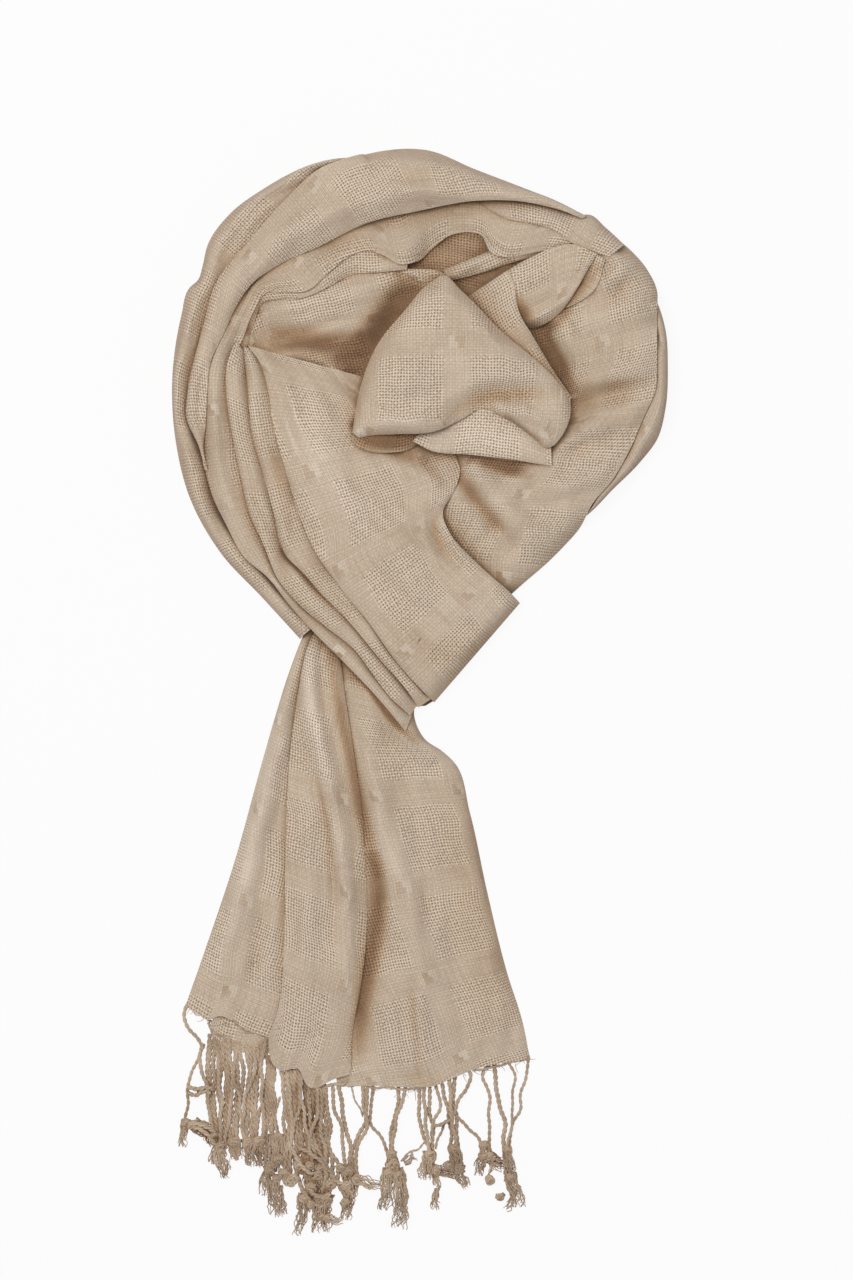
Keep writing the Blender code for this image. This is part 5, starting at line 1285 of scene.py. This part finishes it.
CORDS = [  # mesh, then a row for each cord: the layer it lies in, its width, and the points it runs through
    ("fringe_left", [
        (0, 1.8, (-163, -220), (-157, -224), (-150, -227), (-145, -231), (-141, -229)),
        (1, 2.4, (-143, -228), (-136, -227), (-128, -232), (-118, -237), (-106, -241)),
        (0, 2.6, (-147, -232), (-142, -240), (-133, -243), (-125, -247), (-117, -250), (-110, -247)),
    ]),
    ("fringe_middle", [
        (0, 2.4, (-106, -258), (-96, -263), (-88, -266), (-80, -268), (-74, -278), (-66, -278)),
        (1, 2.4, (-68, -278), (-60, -276), (-53, -275), (-48, -270)),
    ]),
    ("fringe_right", [
        (1, 2.0, (-40, -276), (-22, -278), (-5, -278), (8, -276)),
        (1, 2.0, (4, -277), (20, -270), (33, -266), (45, -264), (60, -261), (78, -257)),
    ]),
    ("fringe_left", [
        (0, 2.8, (-162, -219), (-164, -227), (-160, -236), (-154, -245), (-150, -250)),
        (0, 2.4, (-150, -247), (-155, -258), (-160, -272), (-162, -290), (-164, -304)),
        (1, 3.0, (-151, -247), (-153, -256), (-151, -266), (-148, -280), (-145, -300), (-142, -320)),
        (0, 3.2, (-146, -240), (-147, -258), (-146, -275), (-143, -300), (-140, -322)),
        (1, 3.2, (-143, -243), (-140, -258), (-139, -275), (-138, -300), (-139, -324)),
        (0, 3.2, (-136, -241), (-136, -258), (-135, -272), (-134, -290), (-135, -320)),
        (1, 3.2, (-133, -242), (-131, -262), (-130, -280), (-133, -300), (-136, -318)),
        (0, 3.0, (-128, -245), (-128, -275), (-127, -300), (-129, -322)),
        (1, 2.8, (-126, -246), (-129, -268), (-126, -285), (-123, -300), (-122, -320)),
        (0, 3.2, (-119, -248), (-119, -275), (-122, -300), (-121, -322)),
        (1, 3.0, (-115, -247), (-115, -268), (-121, -284), (-123, -305), (-118, -322)),
        (0, 3.2, (-112, -242), (-112, -262), (-113, -282), (-115, -300), (-116, -322)),
        (1, 3.2, (-106, -240), (-109, -256), (-110, -275), (-108, -300), (-111, -322)),
        (0, 3.0, (-104, -255), (-107, -280), (-112, -300), (-114, -318)),
        (2, 3.4, (-161, -277), (-155, -278), (-148, -276), (-143, -279)),
        (2, 3.2, (-161, -281), (-155, -283), (-148, -280), (-142, -283)),
        (2, 3.4, (-164, -302), (-156, -302), (-148, -304), (-142, -309)),
        (2, 3.4, (-160, -305), (-153, -306), (-147, -310), (-141, -318)),
    ]),
    ("fringe_middle", [
        (0, 3.2, (-104, -256), (-104, -270), (-105, -285), (-106, -300), (-102, -314), (-98, -330)),
        (1, 2.0, (-97, -284), (-100, -297), (-98, -310), (-96, -325)),
        (0, 3.2, (-96, -261), (-95, -275), (-93, -290), (-91, -305), (-88, -322)),
        (1, 3.2, (-92, -264), (-90, -285), (-88, -305), (-92, -322), (-94, -338)),
        (0, 3.4, (-87, -265), (-86, -290), (-84, -310), (-80, -327)),
        (1, 3.0, (-83, -266), (-83, -285), (-86, -300), (-89, -318), (-91, -336)),
        (0, 3.2, (-80, -268), (-79, -285), (-79, -300), (-78, -320), (-82, -338)),
        (1, 3.2, (-76, -274), (-77, -290), (-76, -300), (-72, -315), (-66, -330), (-58, -341)),
        (0, 3.2, (-73, -277), (-74, -295), (-73, -310), (-70, -325), (-74, -345)),
        (1, 3.4, (-69, -276), (-68, -290), (-68, -305), (-66, -320), (-64, -336), (-68, -352)),
        (0, 3.2, (-65, -276), (-64, -290), (-62, -300), (-63, -312), (-60, -330), (-62, -350)),
        (1, 3.0, (-60, -276), (-59, -290), (-56, -300), (-53, -312), (-52, -325), (-50, -338)),
        (0, 3.4, (-56, -275), (-54, -288), (-52, -300), (-49, -312), (-48, -325), (-48, -342)),
        (0, 3.0, (-101, -258), (-101, -266), (-103, -280), (-104, -300), (-100, -320)),
        (0, 3.0, (-90, -263), (-92, -285), (-94, -300), (-94, -318), (-91, -334)),
        (0, 3.0, (-85, -264), (-84, -282), (-82, -300), (-83, -318), (-86, -334)),
        (0, 3.2, (-75, -272), (-75, -292), (-78, -312), (-75, -328), (-77, -342)),
        (0, 3.0, (-67, -275), (-66, -292), (-65, -312), (-67, -330), (-66, -346)),
        (2, 3.0, (-71, -274), (-70, -288), (-73, -302), (-76, -316), (-74, -330)),
        (2, 3.0, (-81, -266), (-82, -282), (-80, -298), (-76, -312), (-71, -326)),
        (2, 3.2, (-90, -318), (-84, -328), (-78, -335), (-70, -339)),
        (2, 3.0, (-84, -320), (-76, -322), (-68, -330), (-63, -340)),
        (2, 3.2, (-79, -345), (-73, -351), (-66, -353), (-58, -350)),
        (1, 3.2, (-80, -350), (-75, -357), (-68, -360), (-61, -357)),
        (1, 3.0, (-62, -338), (-56, -344), (-50, -348), (-46, -352)),
    ]),
    ("fringe_right", [
        (0, 1.8, (-50, -276), (-46, -277), (-41, -275), (-38, -276)),
        (0, 1.5, (-47, -277), (-43, -288), (-39, -298)),
        (0, 3.2, (-39, -275), (-38, -290), (-38, -302), (-42, -312), (-46, -322), (-45, -342)),
        (1, 3.0, (-36, -276), (-36, -292), (-36, -302), (-40, -312), (-43, -322), (-43, -342)),
        (0, 2.6, (-32, -276), (-33, -290), (-33, -302), (-28, -311), (-23, -319), (-20, -330)),
        (0, 3.0, (-14, -277), (-15, -292), (-18, -305), (-20, -318), (-20, -330)),
        (1, 3.0, (-9, -277), (-12, -290), (-17, -304), (-18, -318), (-18, -330)),
        (1, 1.6, (-12, -329), (-5, -321), (0, -320), (4, -316)),
        (0, 3.0, (1, -276), (0, -290), (1, -300), (4, -311), (7, -322), (6, -338)),
        (1, 3.0, (4, -276), (4, -290), (5, -302), (7, -314), (8, -330), (8, -338)),
        (0, 3.0, (8, -276), (8, -290), (9, -302), (10, -314), (10, -334)),
        (1, 2.6, (12, -276), (15, -286), (14, -292), (11, -300), (9, -311)),
        (0, 3.0, (16, -272), (18, -284), (21, -292), (22, -305), (23, -330)),
        (1, 3.2, (21, -268), (22, -280), (23, -294), (25, -310), (26, -334)),
        (0, 3.2, (26, -264), (25, -276), (25, -292), (27, -308), (28, -334)),
        (1, 2.8, (34, -262), (37, -270), (33, -277), (29, -284), (26, -293), (22, -304)),
        (2, 3.0, (10, -304), (16, -302), (23, -300)),
        (1, 2.0, (18, -303), (14, -311), (12, -320)),
        (1, 2.6, (27, -298), (35, -305), (40, -310), (44, -320)),
        (0, 2.6, (50, -262), (46, -265), (45, -270), (48, -276), (49, -290), (50, -305), (49, -322)),
        (0, 3.4, (53, -260), (54, -275), (56, -285), (59, -297), (60, -315), (61, -338)),
        (1, 2.2, (62, -258), (67, -268), (66, -280), (66, -295), (64, -306), (63, -325), (65, -342)),
        (0, 2.4, (77, -255), (75, -272), (71, -285), (70, -295), (66, -304), (64, -315), (63, -340)),
    ]),
]

ROWS = [  # mesh, cords, width, the line that they hang from and the line that they reach
    ("fringe_left", 8, 3.4, ((-145, -244), (-126, -247)), ((-143, -318), (-125, -322))),
    ("fringe_left", 6, 3.2, ((-120.5, -247), (-107, -244)), ((-121, -320), (-109, -324))),
    ("fringe_middle", 9, 3.4, ((-93, -262), (-66, -275)), ((-92, -336), (-66, -344))),
    ("fringe_middle", 3, 3.0, ((-105, -258), (-101, -260)), ((-107, -334), (-100, -334))),
    ("fringe_middle", 4, 3.2, ((-90, -318), (-62, -322)), ((-80, -352), (-50, -356))),
]

print(sum(len(cords) for _, cords in CORDS), "cords and", len(ROWS), "rows of cords")

# %% Loose ends
BUNDLE_THICK = 3.0    # the height of a bundle, by which its middle lies above the floor
THREADS = 1.1         # threads drawn for each one in the list
THREAD_WAVE, THREAD_KINK = (9, 26), (4, 7)    # lengths of a thread's long waves and of its kinks
WAVE_STRAY, KINK_STRAY = (0.3, 1.7), (0.1, 0.5)   # and how far they stray to the side
WAVE_RISE = 0.7       # how far the long waves rise and fall
THREAD_HIGH = (-1.2, 1.6)     # height of a thread over the bundle's middle
THREAD_LOW = 0.6      # and over the floor, at least
THREAD_RADIUS = (0.3, 0.62)
THREAD_THINS = 0.45   # the share of its radius that it loses from end to end
THREAD_SHORT = 0.62   # how early a thread may end: the square of this is the share that it lacks
THREAD_RINGS = 5      # the fewest rings
CLUMP_LEAST = 6       # a bundle at least this wide starts in a knotted clump,
CLUMP_MORE = 2        # this much wider,
CLUMP_MOST = 10       # but no wider than this,
CLUMP_PLACE = 0.25    # at this share of the way from its first point to its second

BUNDLES = [  # mesh, then for each: layer, width at start and end, threads, and the points it runs through
    ("fringe_left", [
        (0, 6, 4, 16, (-162, -300), (-164, -308), (-165, -319)),
        (0, 10, 9, 24, (-158, -302), (-149, -308), (-143, -318)),
        (1, 9, 7, 30, (-139, -316), (-138, -326), (-136, -341)),
        (0, 3, 5, 8, (-142, -319), (-145, -325), (-146, -331)),
        (0, 11, 9, 30, (-128, -314), (-127, -322), (-126, -328)),
        (1, 10, 5, 26, (-119, -314), (-118, -324), (-117, -333)),
        (0, 9, 5, 24, (-112, -312), (-111, -324), (-110, -335)),
    ]),
    ("fringe_middle", [
        (1, 15, 14, 40, (-98, -310), (-98, -322), (-97, -336)),
        (0, 8, 9, 22, (-103, -330), (-106, -341), (-109, -353)),
        (0, 5, 5, 9, (-103, -342), (-103, -354), (-101, -366)),
        (1, 6, 4, 16, (-99, -338), (-99, -352), (-98, -368)),
        (0, 3, 3, 8, (-97, -346), (-95, -356), (-93, -366)),
        (0, 18, 18, 44, (-71, -336), (-71, -350), (-70, -364)),
        (1, 7, 5, 18, (-80, -352), (-82, -366), (-84, -381)),
        (1, 10, 5, 24, (-69, -352), (-70, -366), (-72, -379)),
        (0, 9, 5, 20, (-64, -352), (-65, -366), (-66, -378)),
        (1, 6, 6, 14, (-66, -368), (-60, -370), (-53, -370)),
        (0, 12, 5, 30, (-49, -332), (-48, -350), (-51, -370)),
    ]),
    ("fringe_right", [
        (1, 7, 6, 16, (-46, -341), (-37, -344), (-25, -346)),
        (0, 6, 12, 26, (-19, -322), (-18, -330), (-18, -340)),
        (1, 10, 7, 28, (-20, -334), (-22, -348), (-25, -363)),
        (1, 8, 9, 30, (-15, -334), (-12, -354), (-14, -376)),
        (0, 4, 6, 12, (-10, -330), (-6, -327), (-2, -324)),
        (1, 8, 10, 26, (8, -322), (6, -332), (5, -342)),
        (0, 7, 9, 22, (10, -336), (19, -335), (29, -337)),
        (1, 8, 10, 26, (25, -318), (26, -330), (27, -341)),
        (0, 8, 3, 18, (28, -332), (30, -340), (34, -348)),
        (0, 5, 3, 10, (11, -338), (13, -345), (13, -350)),
        (0, 3, 5, 14, (13, -348), (12, -354), (13, -363)),
        (1, 7, 9, 20, (46, -316), (47, -324), (48, -330)),
        (0, 9, 5, 20, (47, -324), (43, -331), (42, -339)),
        (0, 8, 8, 20, (48, -325), (54, -329), (60, -333)),
        (1, 6, 8, 20, (62, -318), (62, -332), (64, -342)),
        (1, 8, 7, 26, (64, -338), (68, -348), (70, -361)),
        (0, 3, 3, 8, (67, -350), (64, -357), (61, -364)),
        (0, 2, 2, 5, (51, -330), (50, -336), (50, -340)),
    ]),
]

LUMP_CURLS = 7        # curls of cord in a knotted lump
LUMP_REACH = (0.10, 0.34)     # radius of its smallest and largest curl, as a share of its width
LUMP_CORD = 3.0       # width of its cord
LUMP_HIGH = 5.2       # height of its middle
LUMP_FALL = 9         # how much lower a curl would lie whose radius is the lump's whole width
LUMP_UNEVEN = 1.2     # how much higher than this a curl may lie
CURL_RISE = 0.9       # how far a curl rises and falls
CURL_FLAT = (0.5, 0.95)   # its shorter radius, as a share of its longer one
CURL_TURN = (2.5, 4.6)    # the angle that it runs through
CURL_RINGS = 18       # and its rings
LUMPS = [  # mesh, then x, y and width of each knotted lump
    ("fringe_middle", [(-89, -342, 15), (-76, -333, 9), (-62, -345, 10)]),
    ("fringe_right", [(-18, -332, 12), (50, -342, 8), (57, -353, 8), (21, -332, 9)]),
    ("fringe_left", [
        (-120, -318, 8), (-138, -322, 8), (-150, -304, 8), (-143, -311, 8), (-130, -316, 9), (-112, -316, 8),
        (-152, -280, 6), (-159, -304, 6),
    ]),
    ("fringe_middle", [
        (-98, -328, 12), (-104, -336, 8), (-94, -338, 12), (-84, -332, 10), (-68, -334, 11), (-55, -334, 10),
        (-50, -346, 10), (-74, -348, 11), (-66, -356, 10), (-75, -360, 9), (-51, -358, 8), (-68, -368, 8),
    ]),
]

FRAYED = [  # mesh, threads, then the hem or selvedge that they stand out from
    ("fringe_left", 26, (-163, -220), (-145, -230), (-126, -233), (-106, -241)),
    ("fringe_left", 22, (-146, -234), (-130, -245), (-110, -248)),
    ("fringe_middle", 34, (-105, -257), (-88, -266), (-74, -277), (-49, -271)),
    ("fringe_right", 46, (-41, -276), (-6, -278), (20, -270), (45, -264), (78, -257)),
]
FRAY_SHORT, FRAY_LONG = 2, 9.0    # lengths of the shortest and the longest frayed thread
FRAY_RINGS = 6        # rings of points along one
FRAY_BEND = 1.6       # the greatest angle that it turns through
FRAY_FALL = 0.3       # how far it falls for each millimetre
FRAY_START = (2.0, 4.2)   # the height from which it falls
FRAY_LOW = 0.5        # and the least height that it falls to
FRAY_RADIUS = (0.18, 0.3)     # it thins to half of this
bundle_count, lump_count = (sum(len(rows) for _, rows in table) for table in (BUNDLES, LUMPS))
print(bundle_count, "bundles and", lump_count, "lumps")

# %% Makers of cords and threads
def left_of(path):
    """The level direction of length 1 to the left of the path at each point."""
    ahead = np.gradient(path[:, :2], axis=0)
    return np.column_stack([-ahead[:, 1], ahead[:, 0]]) / np.linalg.norm(ahead, axis=1)[:, None]


def path_points(rows, level, wide):
    """Points along a cord: a smooth curve through the rows, raised to its layer between its ends."""
    rows = np.array(rows, float)
    knots = lengths(rows)
    steps = np.linspace(0, knots[-1], max(CORD_RINGS, round(knots[-1] / CORD_STEP)))
    flat = smooth(knots, rows, steps)
    phase = rows[0, 0] * SWAY_START[0] + rows[-1, 1] * SWAY_START[1]
    sway = np.sin(steps / SWAY_RUN[0] + phase) + SWAY_LESS * np.sin(steps / SWAY_RUN[1] + 2 * phase)
    inside = np.sin(math.pi * steps / knots[-1])
    high = FLOOR_CLEAR + wide / 2 + LEVEL * level * inside ** 0.5
    return np.column_stack([flat + left_of(flat) * (SWAY * sway * inside)[:, None], high])


def across_path(path):
    """Two directions of length 1 at each point, square to the path and to each other."""
    ahead = np.gradient(path, axis=0)
    ahead /= np.linalg.norm(ahead, axis=1)[:, None]
    side = np.cross(ahead, UPWARDS)
    side /= np.linalg.norm(side, axis=1)[:, None]
    return side, np.cross(side, ahead)


def tube(path, radius, sides=SIDES):
    """Points and faces of a closed tube: a ring of points square to the path at each of its points."""
    side, over = (way[:, None] for way in across_path(path))
    turn = np.linspace(0, 2 * math.pi, sides, endpoint=False)[None, :, None]
    radius = np.broadcast_to(radius, len(path))[:, None, None]
    rings = path[:, None] + radius * (np.cos(turn) * side + np.sin(turn) * over)
    return rings.reshape(-1, 3), ring_faces(len(path), sides)


def twisted(path, wide, phase):
    """Two tubes that wind round the path like the yarns of a cord."""
    side, over = across_path(path)
    run = lengths(path, 3)
    made = []
    for half in (0, math.pi):
        angle = (2 * math.pi * run / TWIST + half + phase)[:, None]
        ply = path + wide * PLY_OFF * (np.cos(angle) * side + np.sin(angle) * over)
        made.append(tube(ply, wide * PLY_RADIUS))
    return made


def wave_along(run, spans, chance):
    """The angle of a wave along the run, with a length from these spans and a start of its own."""
    return 2 * math.pi * run / chance.uniform(*spans) + chance.uniform(*ANY_START)


def bundle(rows, level, start, end, threads, chance):
    """Loose crinkled threads: each keeps its share of the width, strays in waves, and ends where it likes."""
    path = path_points(rows, level, BUNDLE_THICK)
    run = lengths(path)
    share = run / run[-1]
    side = left_of(path)
    made = []
    for _ in range(round(threads * THREADS)):
        place = chance.uniform(-0.5, 0.5)
        wave, kink = (wave_along(run, spans, chance) for spans in (THREAD_WAVE, THREAD_KINK))
        off = place * (start + (end - start) * share)
        off = off + np.sin(wave) * chance.uniform(*WAVE_STRAY) * (0.5 + share)
        off = off + np.sin(kink) * chance.uniform(*KINK_STRAY)
        high = chance.uniform(*THREAD_HIGH) + WAVE_RISE * np.cos(wave)
        thread = path + np.column_stack([side * off[:, None], high])
        reach = max(THREAD_RINGS, round(len(run) * (1 - chance.uniform(0, THREAD_SHORT) ** 2)))
        thread[:, 2] = np.maximum(thread[:, 2], THREAD_LOW)
        thick = chance.uniform(*THREAD_RADIUS) * (1 - THREAD_THINS * share[:reach])
        made.append(tube(thread[:reach], thick, THREAD_SIDES))
    return made


def lump(x, y, wide, chance):
    """A knot pulled tight and felted with wear: short curls of cord, each turned its own way."""
    made = []
    for reach in np.linspace(*LUMP_REACH, LUMP_CURLS):
        turn, flat = chance.uniform(0, 2 * math.pi), chance.uniform(*CURL_FLAT)
        angle = np.linspace(0, chance.uniform(*CURL_TURN), CURL_RINGS)
        curl = np.column_stack([np.cos(angle), np.sin(angle) * flat]) * wide * reach
        level = FLOOR_CLEAR + LUMP_HIGH - LUMP_FALL * reach
        high = level + chance.uniform(0, LUMP_UNEVEN) + CURL_RISE * np.sin(angle + turn)
        made += twisted(np.column_stack([curl @ turning(turn) + (x, y), high]), LUMP_CORD, turn)
    return made


def yarn_material(name):
    """Yarn of the fringe: the cloth's own colour, fine fibres, and painted shade where it lies low between
    plies.
    """
    material, start, end = new_material(name)
    place = start.node("ShaderNodeTexCoord", output="Object")
    fibres = start.node("ShaderNodeTexNoise", inputs={"Vector": place, "Scale": 900.0, "Detail": 2.0})
    patches = start.node("ShaderNodeTexNoise", inputs={"Vector": place, "Scale": 60.0, "Detail": 1.0})
    light = (fibres - 0.5) * 1.2 + (patches - 0.5) * 1.2 + 0.45
    depth = start.node("ShaderNodeAttribute", {"attribute_name": "depth"}, output=2)
    base = painted_light_and_shade(light.step(0.0, 1.0).colour(YARN_DARK, YARN_LIGHT).tint(FRINGE_TINT), depth)
    bump = start.node("ShaderNodeBump", inputs={"Strength": 0.5, "Distance": 0.0003, "Height": fibres})
    surface = start.node("ShaderNodeBsdfPrincipled", inputs={
        "Base Color": base, "Roughness": 0.85, "Specular IOR Level": 0.25, "Sheen Weight": 0.12,
        "Normal": bump})
    start.tree.links.new(surface.socket, end.inputs[0])
    return material


def joined(parts):
    """One array of points and one of faces from many."""
    counts = np.cumsum([0] + [len(points) for points, _ in parts])
    return (np.concatenate([points for points, _ in parts]),
            np.concatenate([faces + count for (_, faces), count in zip(parts, counts)]))


def frayed(count, rows, chance):
    """Thin curved threads that stand out from points along a hem, short ones most often."""
    rows = np.array(rows, float)
    knots = lengths(rows)
    made = []
    for place in smooth(knots, rows, chance.uniform(0, knots[-1], count)):
        way, bend = chance.uniform(math.pi, 2 * math.pi), chance.uniform(-FRAY_BEND, FRAY_BEND)
        run = np.linspace(0, FRAY_SHORT + (FRAY_LONG - FRAY_SHORT) * chance.uniform(0, 1) ** 2, FRAY_RINGS)
        angle = way + bend * run / run[-1]
        step = np.gradient(run)
        x, y = np.cumsum(np.cos(angle) * step), np.cumsum(np.sin(angle) * step)
        path = np.column_stack([x, y, -FRAY_FALL * run]) + (*place, chance.uniform(*FRAY_START))
        path[:, 2] = np.maximum(path[:, 2], FRAY_LOW)
        made.append(tube(path, chance.uniform(*FRAY_RADIUS) * (1 - run / run[-1] / 2), THREAD_SIDES))
    return made


print("faces of a cord of 10 rings:", 2 * len(ring_faces(10, SIDES)))

# %% Make the fringe
FRINGE_SEED = 11      # starts the fringe's random draws
BENDS_AT = (0.35, 0.7)    # the shares of its length at which a cord of a row bends,
ROW_BEND = 3.2        # this far to either side,
ROW_ENDS = (-3, 4)    # and how far its end misses the line
LOWEST = 0.05         # nothing of the fringe lies lower

yarn = yarn_material("fringe_yarn")
chance = np.random.default_rng(FRINGE_SEED)
parts = {"fringe_left": [], "fringe_middle": [], "fringe_right": []}
for mesh_name, cords in CORDS:
    for layer, wide, *rows in cords:
        parts[mesh_name] += twisted(path_points(rows, layer, wide), wide, chance.uniform(*ANY_START))
for mesh_name, count, wide, above, below in ROWS:
    for share in np.linspace(0, 1, count):
        top, foot = (np.array(line[0]) * (1 - share) + np.array(line[1]) * share for line in (above, below))
        bends = [top * (1 - t) + foot * t + (chance.uniform(-ROW_BEND, ROW_BEND), 0) for t in BENDS_AT]
        path = path_points([top, *bends, foot + (chance.uniform(-1, 1), chance.uniform(*ROW_ENDS))], 0, wide)
        parts[mesh_name] += twisted(path, wide, chance.uniform(*ANY_START))
for mesh_name, bundles in BUNDLES:
    for layer, start, end, threads, *rows in bundles:
        parts[mesh_name] += bundle(rows, layer, start, end, threads, chance)
        if start >= CLUMP_LEAST:
            place = np.array(rows[0]) * (1 - CLUMP_PLACE) + np.array(rows[1]) * CLUMP_PLACE
            parts[mesh_name] += lump(*place, min(start + CLUMP_MORE, CLUMP_MOST), chance)
for mesh_name, lumps in LUMPS:
    for row in lumps:
        parts[mesh_name] += lump(*row, chance)
for mesh_name, count, *rows in FRAYED:
    parts[mesh_name] += frayed(count, rows, chance)
fringe_heap = Heap()
for tubes in parts.values():
    fringe_heap.raise_to(joined(tubes)[0])
fringe_top = np.maximum(around(fringe_heap.top, 2, np.max), heap.top)
for mesh_name, tubes in parts.items():
    points, faces = joined(tubes)
    points[:, 2] = np.maximum(points[:, 2], LOWEST)
    # Painted shade where other yarns and cords rise around a point.
    depth = depth_at(points, fringe_top)
    pieces[mesh_name] = make_piece(mesh_name + "_cords", points, faces, points[:, :2], depth, yarn)
    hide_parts(mesh_name)
print("fringe faces:", {name: len(pieces[name].data.polygons) for name in parts})

# %% [markdown]
# ## The cloth's sizes
# For each stretch the mean width, measured along the cloth over every rise and fall, is worked out, and
# the fringe that hangs from it is looked up. Every stretch is a sheet, and its cut is what shows of it:
# the mean width times the mean length, measured along the cloth over every rise and fall.

# %% Widths
FRINGED = {f"tail_{side}_panel": f"fringe_{side}" for side in ("left", "middle", "right")}
for name, grid in laid.items():
    wide = np.linalg.norm(np.diff(grid, axis=1), axis=2).sum(1).mean() * MM
    fringe = [pieces[FRINGED[name]]] if name in FRINGED else []

# %% [markdown]
# ## Floor and light
# The stole lies on a plain white surface. The floor is made to look white to the camera, and still keeps the
# soft shadow under the edges. The light is soft and comes from nearly straight above, a little from the upper
# left, so the folds show by their own shade.

# %% Floor and light
FLOOR_SIZE = 6.0          # all of these sizes are in metres
FLOOR_BELOW = 0.0002      # the stole lies this far above it
FLOOR_GLOW = 0.90         # the part of the floor's white that doesn't depend on the lamps
SKY = 0.50                # light from all round
LAMP_HEIGHT = 2.2
LAMP_SIDE = (-0.55, 0.6)
LAMP_SIZE = 1.1
LAMP_SHARE = 0.47         # light from the lamp on a level surface, where 1 shows a colour as it is written


def camera_rays(start):
    """1 for rays from the camera and for what is seen in mirrors or through glass, 0 for other light."""
    rays = start.node("ShaderNodeLightPath", output="Is Camera Ray")
    mirrored = rays.math("MAXIMUM", rays.out("Is Glossy Ray"), rays.out("Is Transmission Ray"))
    return rays.math("MAXIMUM", rays, mirrored)


floor_material, start, end = new_material("white_floor")
plain = start.node("ShaderNodeBsdfDiffuse", inputs={"Color": (0.82, 0.82, 0.82, 1)})
glow = start.node("ShaderNodeEmission", inputs={"Color": WHITE, "Strength": 1.0})
mixed = start.node("ShaderNodeMixShader", inputs={0: camera_rays(start) * FLOOR_GLOW, 1: plain, 2: glow})
start.tree.links.new(mixed.socket, end.inputs[0])
floor_mesh = bpy.data.meshes.new("floor")
half = FLOOR_SIZE / 2
corners = [(x * half, y * half, -FLOOR_BELOW) for x, y in ((-1, -1), (1, -1), (1, 1), (-1, 1))]
floor_mesh.from_pydata(corners, [], [(0, 1, 2, 3)])
floor_mesh.materials.append(floor_material)
floor = placed("floor", floor_mesh)

lamp = bpy.data.lights.new("soft_lamp", "AREA")
lamp.size = LAMP_SIZE
lamp_place = np.array([*LAMP_SIDE, LAMP_HEIGHT])
reach = float(np.linalg.norm(lamp_place))
lamp.energy = LAMP_SHARE * math.pi**2 * reach**3 / LAMP_HEIGHT
lamp_object = placed("soft_lamp", lamp)
lamp_object.location = lamp_place
tilt_x, tilt_y = math.atan2(-LAMP_SIDE[1], LAMP_HEIGHT), math.atan2(LAMP_SIDE[0], LAMP_HEIGHT)
lamp_object.rotation_euler = (tilt_x, tilt_y, 0)

world = bpy.data.worlds.new("world")
sky = emptied(world)
strength = camera_rays(sky) * (1 - SKY) + SKY
background = sky.node("ShaderNodeBackground", inputs={"Color": WHITE, "Strength": strength})
sky.tree.links.new(background.socket, sky.tree.nodes.new("ShaderNodeOutputWorld").inputs[0])
bpy.context.scene.world = world
bpy.context.scene.view_settings.view_transform = "Standard"
print("the lamp gives", round(lamp.energy, 1), "W")
